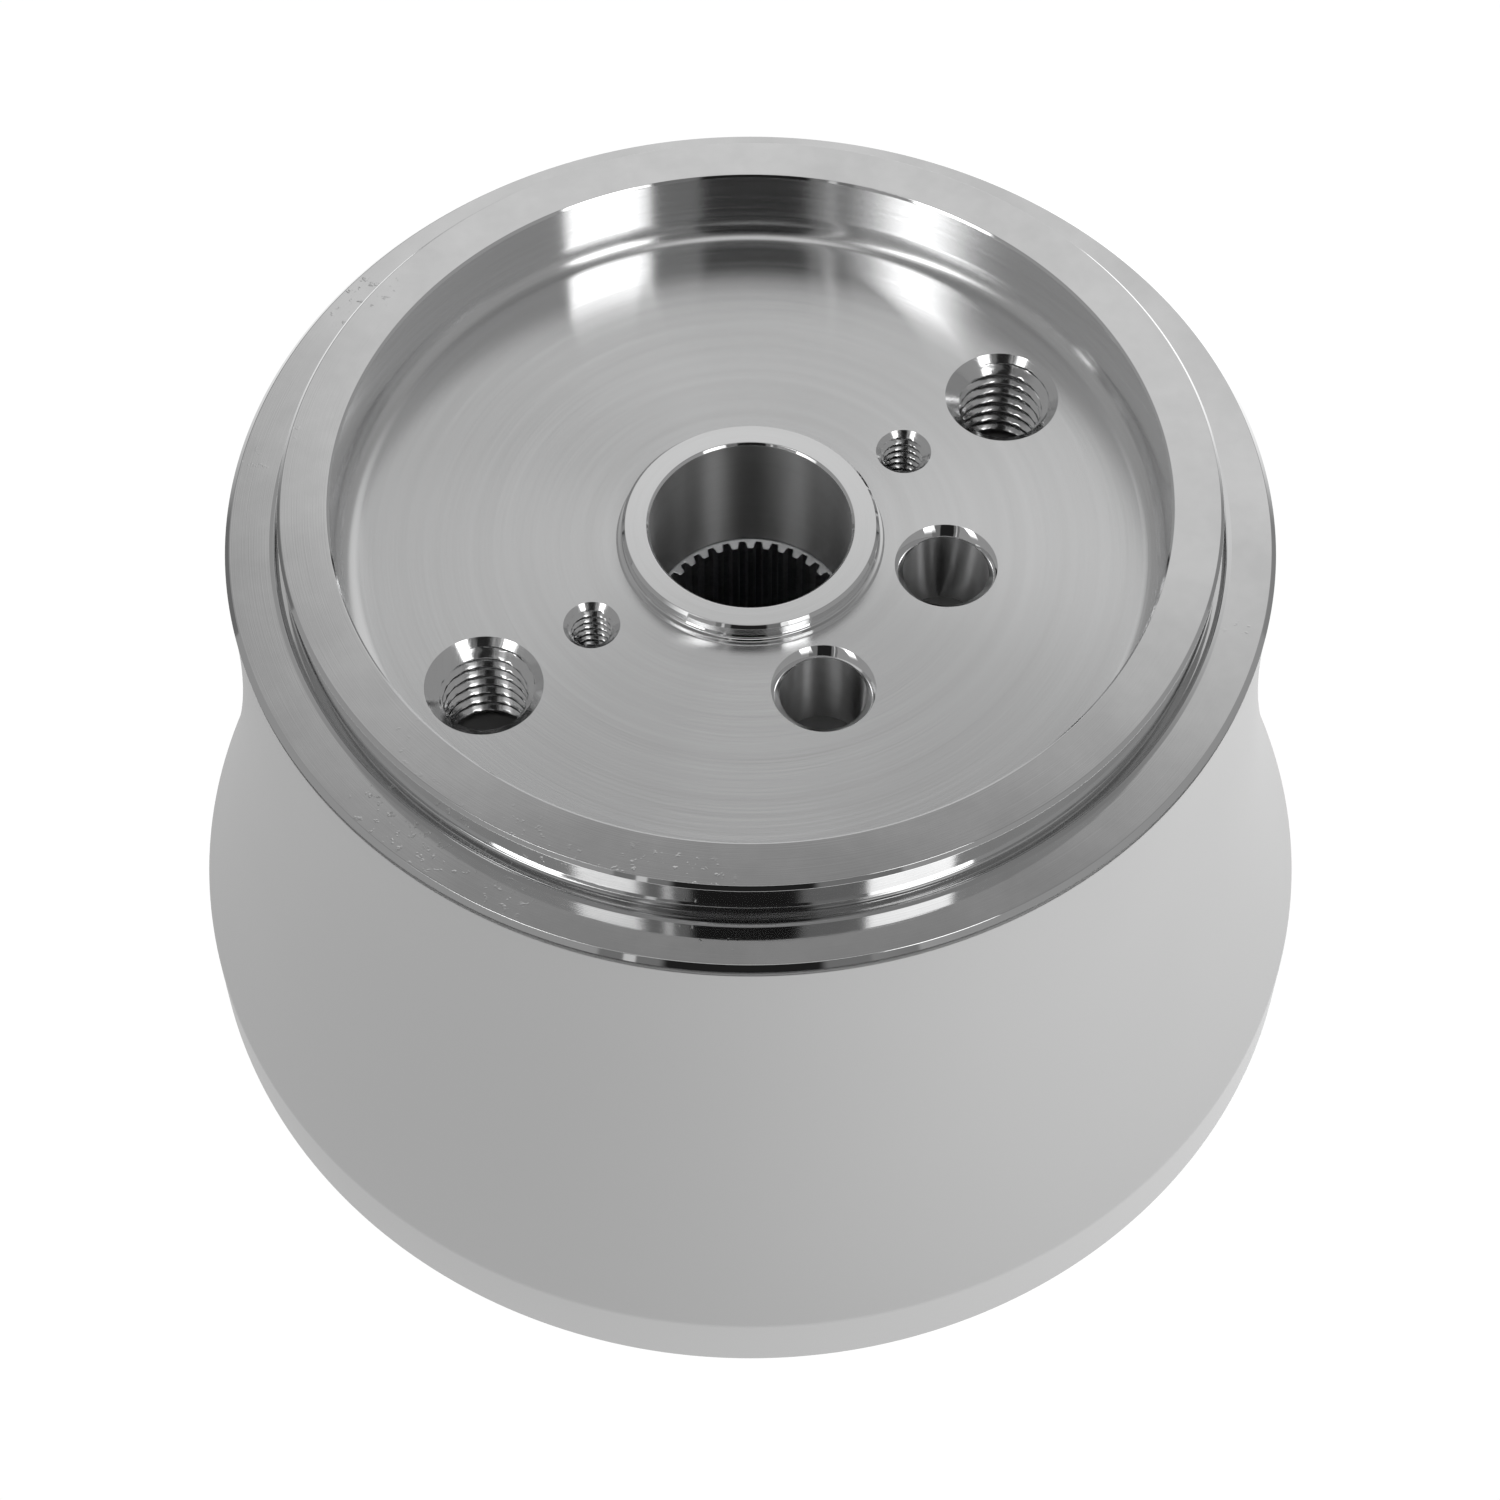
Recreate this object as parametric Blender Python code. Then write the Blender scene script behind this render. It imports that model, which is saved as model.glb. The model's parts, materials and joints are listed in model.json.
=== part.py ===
"""Supercharger nose drive: a splined drive hub that turns on two ball bearings in a flared housing.

Metres, +Z up. The origin is the centre of the housing's mounting face. +Z is the axis that the hub
turns about, and points from the mounting face towards the pulley seat.
"""
import math

import bmesh
import bpy
from mathutils import Matrix, Vector

MM = 0.001
RING_STEPS = 48          # straight sides of each large turned surface
SMALL_STEPS = 30         # straight sides of bearings, seals and nuts
HOLE_STEPS = 12          # straight sides of holes
FIT = 0.3 * MM           # gap between pieces that touch
RUN_GAP = 0.5 * MM       # gap between the turning hub and the still housing
CUT_OVERRUN = 2.0 * MM   # how far a cutter runs past the face it opens

# Whole unit
HEIGHT = 92.0 * MM                 # mounting face to the pilot's end face
BASE_RADIUS = 79.3 * MM            # foot lip of the flared housing
WAIST_STEP = 0.1 * MM              # how far the flare's waist is inside the hub flange
WAIST_DROP = 12.0 * MM             # end face to the height where the flare is upright
LIP_HEIGHT = 11.0 * MM             # straight lip at the foot
LIP_STEP = 0.3 * MM                # how far the lip stands proud of the flare's end
LIP_EDGE = 0.8 * MM                # bevel of the lip's lower edge
FLARE_STEPS = 6

# Hub, measured down from its end face
PILOT_RADIUS = 60.2 * MM           # locates the pulley
PILOT_CHAMFER = 0.7 * MM
RIM_WIDTH = 6.25 * MM              # the pilot's end face
RIM_INNER_CHAMFER = 0.45 * MM
SEAT_WIDTH = 7.3 * MM              # pulley seat round the pilot
FLANGE_DROP = 6.15 * MM
FLANGE_EDGE = 1.2 * MM
FLANGE_CHAMFER = 0.8 * MM
RELIEF_TOP_DROP = 4.05 * MM        # undercut in the corner between pilot and flange
RELIEF_DEPTH = 0.9 * MM            # into the pilot
RELIEF_SINK = 0.4 * MM             # below the flange
RELIEF_WIDTH = 0.9 * MM            # into the flange
RELIEF_SLOPE = 0.4 * MM
FLOOR_DROP = 10.6 * MM             # recess floor
FLOOR_FILLET = 2.6 * MM
FLOOR_FILLET_STEPS = 4
BOSS_DROP = 7.84 * MM              # centre boss
BOSS_RADIUS = 16.4 * MM
BOSS_CHAMFER = 0.4 * MM
BOSS_FILLET = 1.5 * MM
BORE_RADIUS = 13.15 * MM
BORE_CHAMFER = 0.5 * MM
DISC_STEP = 1.8 * MM               # hub disc inside the housing, outside the pilot's radius
SPLINE_DROP = 28.0 * MM            # end face to the start of the splines
SHANK_RADIUS = 20.0 * MM           # bearing seats
JOURNAL_STEP = 4.0 * MM            # seal journal, outside the bearing seats
SHANK_END = 1.0 * MM               # height of the shank's end above the mounting face

# Holes in the recess floor: distance from the axis, direction, and radii
PULLER_CIRCLE = 41.0 * MM
PULLER_THREAD_MINOR = 5.4 * MM
PULLER_MOUTH = 7.5 * MM
LOCK_CIRCLE = 24.7 * MM
LOCK_THREAD_MINOR = 2.6 * MM
LOCK_MOUTH = 3.65 * MM
THREAD_LINE_ANGLE = math.radians(35.0)
DOWEL_CIRCLE = 25.7 * MM
DOWEL_HOLE_RADIUS = 5.55 * MM
DOWEL_MOUTH = 6.65 * MM
DOWEL_ANGLES = (math.radians(-10.5), math.radians(-69.0))
BLIND_WALL = 2.5 * MM              # left below the holes

# Spline insert
SHANK_WALL = 3.5 * MM              # hub wall round the insert
INSERT_LENGTH = 30.0 * MM
SPLINE_TEETH = 36
SPLINE_ROOT_RADIUS = 12.9 * MM
SPLINE_TIP_RADIUS = 12.0 * MM
SPLINE_LEAD_IN = 1.1 * MM
KEEPER_THICKNESS = 1.5 * MM
KEEPER_DEPTH = 1.2 * MM
KEEPER_INNER = 14.3 * MM

# Bearings: 40 x 80 x 18 mm deep-groove
BEARING_OUTER = 40.0 * MM
BEARING_WIDTH = 18.0 * MM
BALL_COUNT = 9
RACE_SHARE = 0.1875                # least metal behind a ball groove, of the bearing's section
SHOULDER_SHARE = 0.1125            # race shoulder above the bottom of its groove
CAGE_SHARE = 0.05                  # cage to each race
CAGE_RIM = 1.05 * MM               # cage past its pockets
GROOVE_STEPS = 4
BALL_SEGMENTS = 10
BALL_RINGS = 6
POCKET_SIDES = 10

# Stack on the shank, from its end upwards
NUT_LIFT = 0.8 * MM                # shank end to the locknut
NUT_HEIGHT = 8.0 * MM
NUT_WALL = 9.0 * MM
NUT_SLOTS = 4
NUT_SLOT_WIDTH = 6.0 * MM
NUT_SLOT_DEPTH = 2.8 * MM
WASHER_THICKNESS = 1.2 * MM
WASHER_WALL = 10.5 * MM
WASHER_NOTCHES = 12
WASHER_NOTCH_WIDTH = 3.4 * MM
WASHER_NOTCH_DEPTH = 3.0 * MM
SPACER_THICKNESS = 4.0 * MM
SPACER_WALL = 5.0 * MM
SHOULDER_STEP = 4.0 * MM           # housing shoulder between the bearings
CIRCLIP_THICKNESS = 1.75 * MM
CIRCLIP_STEP = 3.2 * MM            # circlip inside the bearing bore
CIRCLIP_DEPTH = 1.2 * MM
RING_GAP_ANGLE = math.radians(28.0)
SEAL_WIDTH = 7.0 * MM
SEAL_WALL = 1.5 * MM
SEAL_RUBBER = 1.8 * MM
SEAL_WEB_GAP = 5.0 * MM            # seal case to the journal
SEAL_SIDE_GAP = 1.3 * MM           # seal rubber to the case's outer wall
SPRING_WIRE = 0.8 * MM
CORD_STEPS = 5                     # sides of the round cords, less one
CORD_SPAN = 300.0                  # degrees those sides cover

# Housing inside
WALL_TOP_GAP = 2.2 * MM            # space between the hub disc and the housing web
WEB_LIP = 0.6 * MM                 # bearing bore past the seal
WEB_THICKNESS = 10.0 * MM
RECESS_STEP = 17.3 * MM            # opening in the mounting face, inside the foot's radius
CARRIER_WALL = 9.0 * MM            # tube round the bearings
RIB_COUNT = 6
RIB_THICKNESS = 6.0 * MM
FLARE_WALL = 7.9 * MM              # outside a pocket at its end
POCKET_DRAFT = 2.5 * MM            # how much thicker a rib is at a pocket's end
POCKET_ARC_STEPS = 4
MOUNT_STEP = 7.3 * MM              # mounting holes inside the foot's radius
MOUNT_THREAD_MINOR = 3.4 * MM
MOUNT_HOLE_DEPTH = 14.0 * MM
MOUNT_COUNT = 6
LOCATOR_RADIUS = 3.0 * MM
LOCATOR_DEPTH = 9.0 * MM
ORING_STEP = 13.7 * MM             # O-ring inside the foot's radius
ORING_CORD = 1.1 * MM
RETAINER_THICKNESS = 3.0 * MM
RETAINER_GAP = 3.8 * MM            # tab washer to the plate's bore
RETAINER_STEP = 1.0 * MM           # plate inside the tube's radius
RETAINER_SCREWS = 6
SCREW_STEP = 4.3 * MM              # screws outside the bearing bore
SCREW_RADIUS = 2.0 * MM
SCREW_LENGTH = 12.0 * MM
SCREW_HEAD_RADIUS = 3.5 * MM
SCREW_HEAD_HEIGHT = 2.6 * MM
SCREW_SOCKET = 1.5 * MM
SCREW_SOCKET_DEPTH = 1.4 * MM

# Radii that follow from the sizes above
FLANGE_RADIUS = PILOT_RADIUS + SEAT_WIDTH
WAIST_RADIUS = FLANGE_RADIUS - WAIST_STEP
RIM_INNER_RADIUS = PILOT_RADIUS - RIM_WIDTH
DISC_RADIUS = PILOT_RADIUS + DISC_STEP
JOURNAL_RADIUS = SHANK_RADIUS + JOURNAL_STEP
INSERT_RADIUS = SHANK_RADIUS - SHANK_WALL - FIT
PITCH_RADIUS = (SHANK_RADIUS + BEARING_OUTER) / 2.0
BEARING_SECTION = BEARING_OUTER - SHANK_RADIUS
RACE_WALL = RACE_SHARE * BEARING_SECTION
SHOULDER_HEIGHT = SHOULDER_SHARE * BEARING_SECTION
CAGE_GAP = CAGE_SHARE * BEARING_SECTION
BALL_RADIUS = BEARING_SECTION / 2.0 - RACE_WALL - FIT
INNER_SHOULDER = SHANK_RADIUS + RACE_WALL + SHOULDER_HEIGHT
OUTER_SHOULDER = BEARING_OUTER - RACE_WALL - SHOULDER_HEIGHT
CAGE_INNER = INNER_SHOULDER + CAGE_GAP + FIT
CAGE_OUTER = OUTER_SHOULDER - CAGE_GAP - FIT
CAGE_WIDTH = 2.0 * (BALL_RADIUS + FIT + CAGE_RIM)
NUT_RADIUS = SHANK_RADIUS + NUT_WALL
WASHER_RADIUS = SHANK_RADIUS + WASHER_WALL
SPACER_RADIUS = SHANK_RADIUS + SPACER_WALL
SHOULDER_INNER = BEARING_OUTER - SHOULDER_STEP
CIRCLIP_INNER = BEARING_OUTER - CIRCLIP_STEP
SEAL_WEB_INNER = JOURNAL_RADIUS + SEAL_WEB_GAP
RECESS_RADIUS = BASE_RADIUS - RECESS_STEP
CARRIER_RADIUS = BEARING_OUTER + CARRIER_WALL
POCKET_END_RADIUS = WAIST_RADIUS - FLARE_WALL
MOUNT_CIRCLE = BASE_RADIUS - MOUNT_STEP
ORING_CIRCLE = BASE_RADIUS - ORING_STEP
RETAINER_INNER = WASHER_RADIUS + RETAINER_GAP
RETAINER_RADIUS = CARRIER_RADIUS - RETAINER_STEP
RETAINER_CIRCLE = BEARING_OUTER + SCREW_STEP

# Heights that follow from the sizes above
WAIST_HEIGHT = HEIGHT - WAIST_DROP
NUT_Z = SHANK_END + NUT_LIFT
WASHER_Z = NUT_Z + NUT_HEIGHT + FIT
REAR_BEARING_Z = WASHER_Z + WASHER_THICKNESS + FIT
SPACER_Z = REAR_BEARING_Z + BEARING_WIDTH + FIT
FRONT_BEARING_Z = SPACER_Z + SPACER_THICKNESS + FIT
CIRCLIP_Z = FRONT_BEARING_Z + BEARING_WIDTH + FIT
SEAL_Z = CIRCLIP_Z + CIRCLIP_THICKNESS + 2.0 * FIT
WEB_TOP = SEAL_Z + SEAL_WIDTH + WEB_LIP
POCKET_TOP = WEB_TOP - WEB_THICKNESS
DISC_Z = WEB_TOP + WALL_TOP_GAP
FLANGE_Z = HEIGHT - FLANGE_DROP
HOUSING_TOP = FLANGE_Z - FLANGE_EDGE - RUN_GAP
FLOOR_Z = HEIGHT - FLOOR_DROP
BOSS_Z = HEIGHT - BOSS_DROP
SPLINE_Z = HEIGHT - SPLINE_DROP
INSERT_Z = SPLINE_Z - FIT - INSERT_LENGTH
KEEPER_Z = INSERT_Z - FIT - KEEPER_THICKNESS
RETAINER_Z = REAR_BEARING_Z - FIT - RETAINER_THICKNESS


def arc(centre, radius, start, end, steps):
    """Points (r, z) on an arc, with the angles in degrees."""
    angles = [math.radians(start + (end - start) * i / steps) for i in range(steps + 1)]
    return [(centre[0] + radius * math.cos(a), centre[1] + radius * math.sin(a)) for a in angles]


def material(name, colour, roughness, metallic):
    made = bpy.data.materials.new(name)
    made.use_nodes = True
    shader = made.node_tree.nodes["Principled BSDF"]
    shader.inputs["Base Color"].default_value = (*colour, 1.0)
    shader.inputs["Roughness"].default_value = roughness
    shader.inputs["Metallic"].default_value = metallic
    made.diffuse_color = (*colour, 1.0)
    return made


def finish_mesh(bm, name):
    bmesh.ops.remove_doubles(bm, verts=bm.verts, dist=1e-6)
    bmesh.ops.recalc_face_normals(bm, faces=bm.faces)
    mesh = bpy.data.meshes.new(name)
    bm.to_mesh(mesh)
    bm.free()
    mesh.shade_smooth()
    mesh.set_sharp_from_angle(angle=math.radians(30.0))
    return mesh


def spin_profile(bm, profile, steps, closed=True):
    """Turns a profile of (r, z) points about Z. A profile that is not closed starts and ends on the axis."""
    corners = [bm.verts.new((r, 0.0, z)) for r, z in profile]
    pairs = list(zip(corners, corners[1:]))
    if closed:
        pairs.append((corners[-1], corners[0]))
    edges = [bm.edges.new(pair) for pair in pairs]
    bmesh.ops.spin(bm, geom=corners + edges, cent=(0, 0, 0), axis=(0, 0, 1), angle=math.tau,
                   steps=steps, use_merge=True)


def turned(name, profile, steps=RING_STEPS, closed=True):
    bm = bmesh.new()
    spin_profile(bm, profile, steps, closed)
    return finish_mesh(bm, name)


def ring(name, inner, outer, low, high, steps=SMALL_STEPS):
    return turned(name, [(outer, high), (outer, low), (inner, low), (inner, high)], steps)


def split_ring(name, inner, outer, low, high, gap=RING_GAP_ANGLE, steps=SMALL_STEPS):
    """A flat ring with a gap in it, as a circlip has."""
    bm = bmesh.new()
    angles = [gap / 2.0 + (math.tau - gap) * i / steps for i in range(steps + 1)]
    outline = [(outer, a) for a in angles] + [(inner, a) for a in reversed(angles)]
    prism(bm, [(r * math.cos(a), r * math.sin(a)) for r, a in outline], low, high)
    return finish_mesh(bm, name)


def prism(bm, outline, low, high, top_outline=None):
    """A closed solid between an outline at one height and the same or another outline at a second."""
    lower = [bm.verts.new((x, y, low)) for x, y in outline]
    upper = [bm.verts.new((x, y, high)) for x, y in (top_outline or outline)]
    bm.faces.new(list(reversed(lower)))
    bm.faces.new(upper)
    for i in range(len(lower)):
        j = (i + 1) % len(lower)
        bm.faces.new((lower[i], lower[j], upper[j], upper[i]))


def circle(radius, steps, x=0.0, y=0.0):
    return [(x + radius * math.cos(math.tau * i / steps), y + radius * math.sin(math.tau * i / steps))
            for i in range(steps)]


def polar(radius, angle):
    return radius * math.cos(angle), radius * math.sin(angle)


def turn_and_shift(bm, verts, angle=0.0, shift=(0.0, 0.0, 0.0)):
    move = Matrix.Translation(Vector(shift)) @ Matrix.Rotation(angle, 4, "Z")
    bmesh.ops.transform(bm, matrix=move, verts=verts)


def place(name, mesh, finish, parent=None, z=0.0, xy=(0.0, 0.0)):
    thing = bpy.data.objects.new(name, mesh)
    bpy.context.scene.collection.objects.link(thing)
    thing.location = (xy[0], xy[1], z)
    if not mesh.materials:
        mesh.materials.append(finish)
    thing.parent = parent
    return thing


def cut(thing, bm, name):
    """Takes the solids in bm out of thing."""
    tool = bpy.data.objects.new(name, finish_mesh(bm, name))
    bpy.context.scene.collection.objects.link(tool)
    tool.location = thing.location
    tool.hide_render = True
    tool.display_type = "WIRE"
    modifier = thing.modifiers.new("cut_" + name, "BOOLEAN")
    modifier.operation = "DIFFERENCE"
    modifier.solver = "EXACT"
    modifier.object = tool


def baked(thing, name):
    """The thing's mesh with its modifiers worked out, so that copies can share it."""
    shape = thing.evaluated_get(bpy.context.evaluated_depsgraph_get())
    mesh = bpy.data.meshes.new_from_object(shape)
    mesh.name = name
    bpy.data.objects.remove(thing)
    return mesh


def axis_empty(name):
    empty = bpy.data.objects.new(name, None)
    bpy.context.scene.collection.objects.link(empty)
    return empty


def flare_profile():
    """The housing's outside from the top of the foot lip up to the waist: one arc, upright at the waist."""
    rise = WAIST_HEIGHT - LIP_HEIGHT
    run = BASE_RADIUS - LIP_STEP - WAIST_RADIUS
    radius = (rise * rise + run * run) / (2.0 * run)
    foot = math.degrees(math.asin(rise / radius))
    return arc((WAIST_RADIUS + radius, WAIST_HEIGHT), radius, 180.0 + foot, 180.0, FLARE_STEPS)


def housing_profile():
    cavity = DISC_RADIUS + RUN_GAP
    groove = BEARING_OUTER + CIRCLIP_DEPTH + FIT
    groove_low = CIRCLIP_Z - FIT / 2.0
    groove_high = CIRCLIP_Z + CIRCLIP_THICKNESS + FIT / 2.0
    seat_low = SPACER_Z
    seat_high = SPACER_Z + SPACER_THICKNESS
    oring_low = ORING_CIRCLE - ORING_CORD - FIT
    oring_high = ORING_CIRCLE + ORING_CORD + FIT
    oring_top = 2.0 * ORING_CORD + FIT
    outside = [(BASE_RADIUS - LIP_EDGE, 0.0), (BASE_RADIUS, LIP_EDGE), (BASE_RADIUS, LIP_HEIGHT - LIP_STEP)]
    outside += flare_profile() + [(WAIST_RADIUS, HOUSING_TOP)]
    inside = [(cavity, HOUSING_TOP), (cavity, WEB_TOP), (BEARING_OUTER, WEB_TOP)]
    inside += [(BEARING_OUTER, groove_high), (groove, groove_high), (groove, groove_low)]
    inside += [(BEARING_OUTER, groove_low), (BEARING_OUTER, seat_high), (SHOULDER_INNER, seat_high)]
    inside += [(SHOULDER_INNER, seat_low), (BEARING_OUTER, seat_low), (BEARING_OUTER, REAR_BEARING_Z)]
    inside += [(RECESS_RADIUS, REAR_BEARING_Z), (RECESS_RADIUS, 0.0)]
    seat = [(oring_low, 0.0), (oring_low, oring_top), (oring_high, oring_top), (oring_high, 0.0)]
    return outside + inside + seat


def pocket_outline(outer, spread):
    """A pocket between two ribs: inner and outer arcs, with sides parallel to the ribs."""
    half = math.pi / RIB_COUNT
    inner_half = half - math.asin(spread / CARRIER_RADIUS)
    outer_half = half - math.asin(spread / outer)
    inner_arc = [polar(CARRIER_RADIUS, inner_half * (2.0 * i / POCKET_ARC_STEPS - 1.0))
                 for i in range(POCKET_ARC_STEPS + 1)]
    outer_arc = [polar(outer, outer_half * (1.0 - 2.0 * i / POCKET_ARC_STEPS))
                 for i in range(POCKET_ARC_STEPS + 1)]
    return list(reversed(inner_arc + outer_arc))


def housing_cutter():
    bm = bmesh.new()
    spread = RIB_THICKNESS / 2.0
    for k in range(RIB_COUNT):
        before = set(bm.verts)
        low = pocket_outline(RECESS_RADIUS, spread)
        high = pocket_outline(POCKET_END_RADIUS, spread + POCKET_DRAFT / 2.0)
        prism(bm, low, REAR_BEARING_Z - CUT_OVERRUN, POCKET_TOP, high)
        turn_and_shift(bm, [v for v in bm.verts if v not in before], math.tau * k / RIB_COUNT)
    for k in range(MOUNT_COUNT):
        x, y = polar(MOUNT_CIRCLE, math.tau * (k + 0.5) / MOUNT_COUNT)
        prism(bm, circle(MOUNT_THREAD_MINOR, HOLE_STEPS, x, y), -CUT_OVERRUN, MOUNT_HOLE_DEPTH)
    for angle in (0.0, math.pi):
        x, y = polar(MOUNT_CIRCLE, angle)
        prism(bm, circle(LOCATOR_RADIUS, HOLE_STEPS, x, y), -CUT_OVERRUN, LOCATOR_DEPTH)
    screw_hole = SCREW_RADIUS + FIT
    for x, y in screw_places():
        top = RETAINER_Z + SCREW_LENGTH + FIT
        prism(bm, circle(screw_hole, HOLE_STEPS // 2, x, y), REAR_BEARING_Z - CUT_OVERRUN, top)
    return bm


def screw_places():
    return [polar(RETAINER_CIRCLE, math.tau * (k + 0.5) / RETAINER_SCREWS) for k in range(RETAINER_SCREWS)]


def build_housing(finish):
    shell = place("snout_housing", turned("snout_housing", housing_profile()), finish)
    cut(shell, housing_cutter(), "housing_hollows")


def hub_profile():
    relief = PILOT_RADIUS - RELIEF_DEPTH
    rim = RIM_INNER_RADIUS - RIM_INNER_CHAMFER
    fillet = (rim - FLOOR_FILLET, FLOOR_Z + FLOOR_FILLET)
    keeper_low = KEEPER_Z - FIT / 2.0
    keeper_high = KEEPER_Z + KEEPER_THICKNESS + FIT / 2.0
    keeper = INSERT_RADIUS + FIT + KEEPER_DEPTH
    pocket = INSERT_RADIUS + FIT
    points = [(PILOT_RADIUS - PILOT_CHAMFER, HEIGHT), (PILOT_RADIUS, HEIGHT - PILOT_CHAMFER)]
    points += [(PILOT_RADIUS, HEIGHT - RELIEF_TOP_DROP), (relief, HEIGHT - RELIEF_TOP_DROP - RELIEF_DEPTH)]
    points += [(relief, FLANGE_Z - RELIEF_SINK), (PILOT_RADIUS + RELIEF_WIDTH, FLANGE_Z - RELIEF_SINK)]
    points += [(PILOT_RADIUS + RELIEF_WIDTH + RELIEF_SLOPE, FLANGE_Z)]
    points += [(FLANGE_RADIUS - FLANGE_CHAMFER, FLANGE_Z)]
    points += [(FLANGE_RADIUS, FLANGE_Z - FLANGE_CHAMFER), (FLANGE_RADIUS, FLANGE_Z - FLANGE_EDGE)]
    points += [(DISC_RADIUS, FLANGE_Z - FLANGE_EDGE), (DISC_RADIUS, DISC_Z), (JOURNAL_RADIUS, DISC_Z)]
    points += [(JOURNAL_RADIUS, CIRCLIP_Z), (SHANK_RADIUS, CIRCLIP_Z), (SHANK_RADIUS, SHANK_END)]
    points += [(pocket, SHANK_END), (pocket, keeper_low), (keeper, keeper_low), (keeper, keeper_high)]
    points += [(pocket, keeper_high), (pocket, SPLINE_Z), (BORE_RADIUS, SPLINE_Z)]
    points += [(BORE_RADIUS, BOSS_Z - BORE_CHAMFER), (BORE_RADIUS + BORE_CHAMFER, BOSS_Z)]
    points += [(BOSS_RADIUS - BOSS_CHAMFER, BOSS_Z), (BOSS_RADIUS, BOSS_Z - BOSS_CHAMFER)]
    points += [(BOSS_RADIUS, FLOOR_Z + BOSS_FILLET), (BOSS_RADIUS + BOSS_FILLET, FLOOR_Z)]
    points += arc(fillet, FLOOR_FILLET, -90.0, 0.0, FLOOR_FILLET_STEPS)
    points += [(rim, HEIGHT - RIM_INNER_CHAMFER), (RIM_INNER_RADIUS, HEIGHT)]
    return points


def hole_cutter(bm, x, y, bore, mouth):
    """A blind hole in the hub disc with a countersunk mouth in the recess floor."""
    before = set(bm.verts)
    sink = mouth - bore
    over = CUT_OVERRUN
    end = DISC_Z + BLIND_WALL
    profile = [(0.0, FLOOR_Z + over), (mouth + over, FLOOR_Z + over), (bore, FLOOR_Z - sink)]
    profile += [(bore, end), (0.0, end)]
    spin_profile(bm, profile, HOLE_STEPS, closed=False)
    turn_and_shift(bm, [v for v in bm.verts if v not in before], shift=(x, y, 0.0))


def hub_cutter():
    bm = bmesh.new()
    for turn in (0.0, math.pi):
        angle = THREAD_LINE_ANGLE + turn
        hole_cutter(bm, *polar(PULLER_CIRCLE, angle), PULLER_THREAD_MINOR, PULLER_MOUTH)
        hole_cutter(bm, *polar(LOCK_CIRCLE, angle), LOCK_THREAD_MINOR, LOCK_MOUTH)
    for angle in DOWEL_ANGLES:
        hole_cutter(bm, *polar(DOWEL_CIRCLE, angle), DOWEL_HOLE_RADIUS, DOWEL_MOUTH)
    return bm


def build_hub(finish, parent):
    hub = place("drive_hub", turned("drive_hub", hub_profile()), finish, parent)
    cut(hub, hub_cutter(), "hub_holes")


def spline_outline():
    """The space inside the splines: wide at the roots, narrow at the tooth tips."""
    pitch = math.tau / SPLINE_TEETH
    corners = ((SPLINE_TIP_RADIUS, -0.20), (SPLINE_TIP_RADIUS, 0.20),
               (SPLINE_ROOT_RADIUS, 0.34), (SPLINE_ROOT_RADIUS, 0.66))
    return [polar(r, pitch * (k + share)) for k in range(SPLINE_TEETH) for r, share in corners]


def build_insert(finish, parent):
    bm = bmesh.new()
    prism(bm, circle(INSERT_RADIUS, SPLINE_TEETH), 0.0, INSERT_LENGTH)
    insert = place("spline_insert", finish_mesh(bm, "spline_insert"), finish, parent, INSERT_Z)
    bm = bmesh.new()
    prism(bm, spline_outline(), -CUT_OVERRUN, INSERT_LENGTH + CUT_OVERRUN)
    cut(insert, bm, "spline_space")
    bm = bmesh.new()
    steps = SPLINE_TEETH
    wide = SPLINE_ROOT_RADIUS + CUT_OVERRUN
    narrow = SPLINE_ROOT_RADIUS - SPLINE_LEAD_IN
    prism(bm, circle(narrow, steps), INSERT_LENGTH - SPLINE_LEAD_IN, INSERT_LENGTH + CUT_OVERRUN,
          circle(wide, steps))
    cut(insert, bm, "spline_lead_in")


def race_mesh(name, wall, shoulder, side):
    """A bearing race, centred on its own height; side is the direction in degrees from ball to groove."""
    half = BEARING_WIDTH / 2.0
    radius = BALL_RADIUS + FIT
    reach = math.degrees(math.acos(abs(shoulder - PITCH_RADIUS) / radius))
    groove = arc((PITCH_RADIUS, 0.0), radius, side - reach, side + reach, GROOVE_STEPS)
    if side == 0.0:
        outline = [(wall, half), (wall, -half), (shoulder, -half)] + groove + [(shoulder, half)]
    else:
        outline = [(shoulder, half)] + groove + [(shoulder, -half), (wall, -half), (wall, half)]
    return turned(name, outline, SMALL_STEPS)


def cage_mesh(finish):
    """A machined cage with a round pocket for each ball."""
    half = CAGE_WIDTH / 2.0
    cage = place("cage", ring("cage", CAGE_INNER, CAGE_OUTER, -half, half, 3 * BALL_COUNT), finish)
    bm = bmesh.new()
    for k in range(BALL_COUNT):
        before = set(bm.verts)
        prism(bm, circle(BALL_RADIUS + FIT, POCKET_SIDES), CAGE_INNER - CUT_OVERRUN, CAGE_OUTER + CUT_OVERRUN)
        fresh = [v for v in bm.verts if v not in before]
        bmesh.ops.transform(bm, matrix=Matrix.Rotation(math.pi / 2.0, 4, "Y"), verts=fresh)
        turn_and_shift(bm, fresh, math.tau * k / BALL_COUNT)
    cut(cage, bm, "cage_pockets")
    return baked(cage, "cage")


def ball_mesh():
    bm = bmesh.new()
    bmesh.ops.create_uvsphere(bm, u_segments=BALL_SEGMENTS, v_segments=BALL_RINGS, radius=BALL_RADIUS)
    return finish_mesh(bm, "ball")


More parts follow.
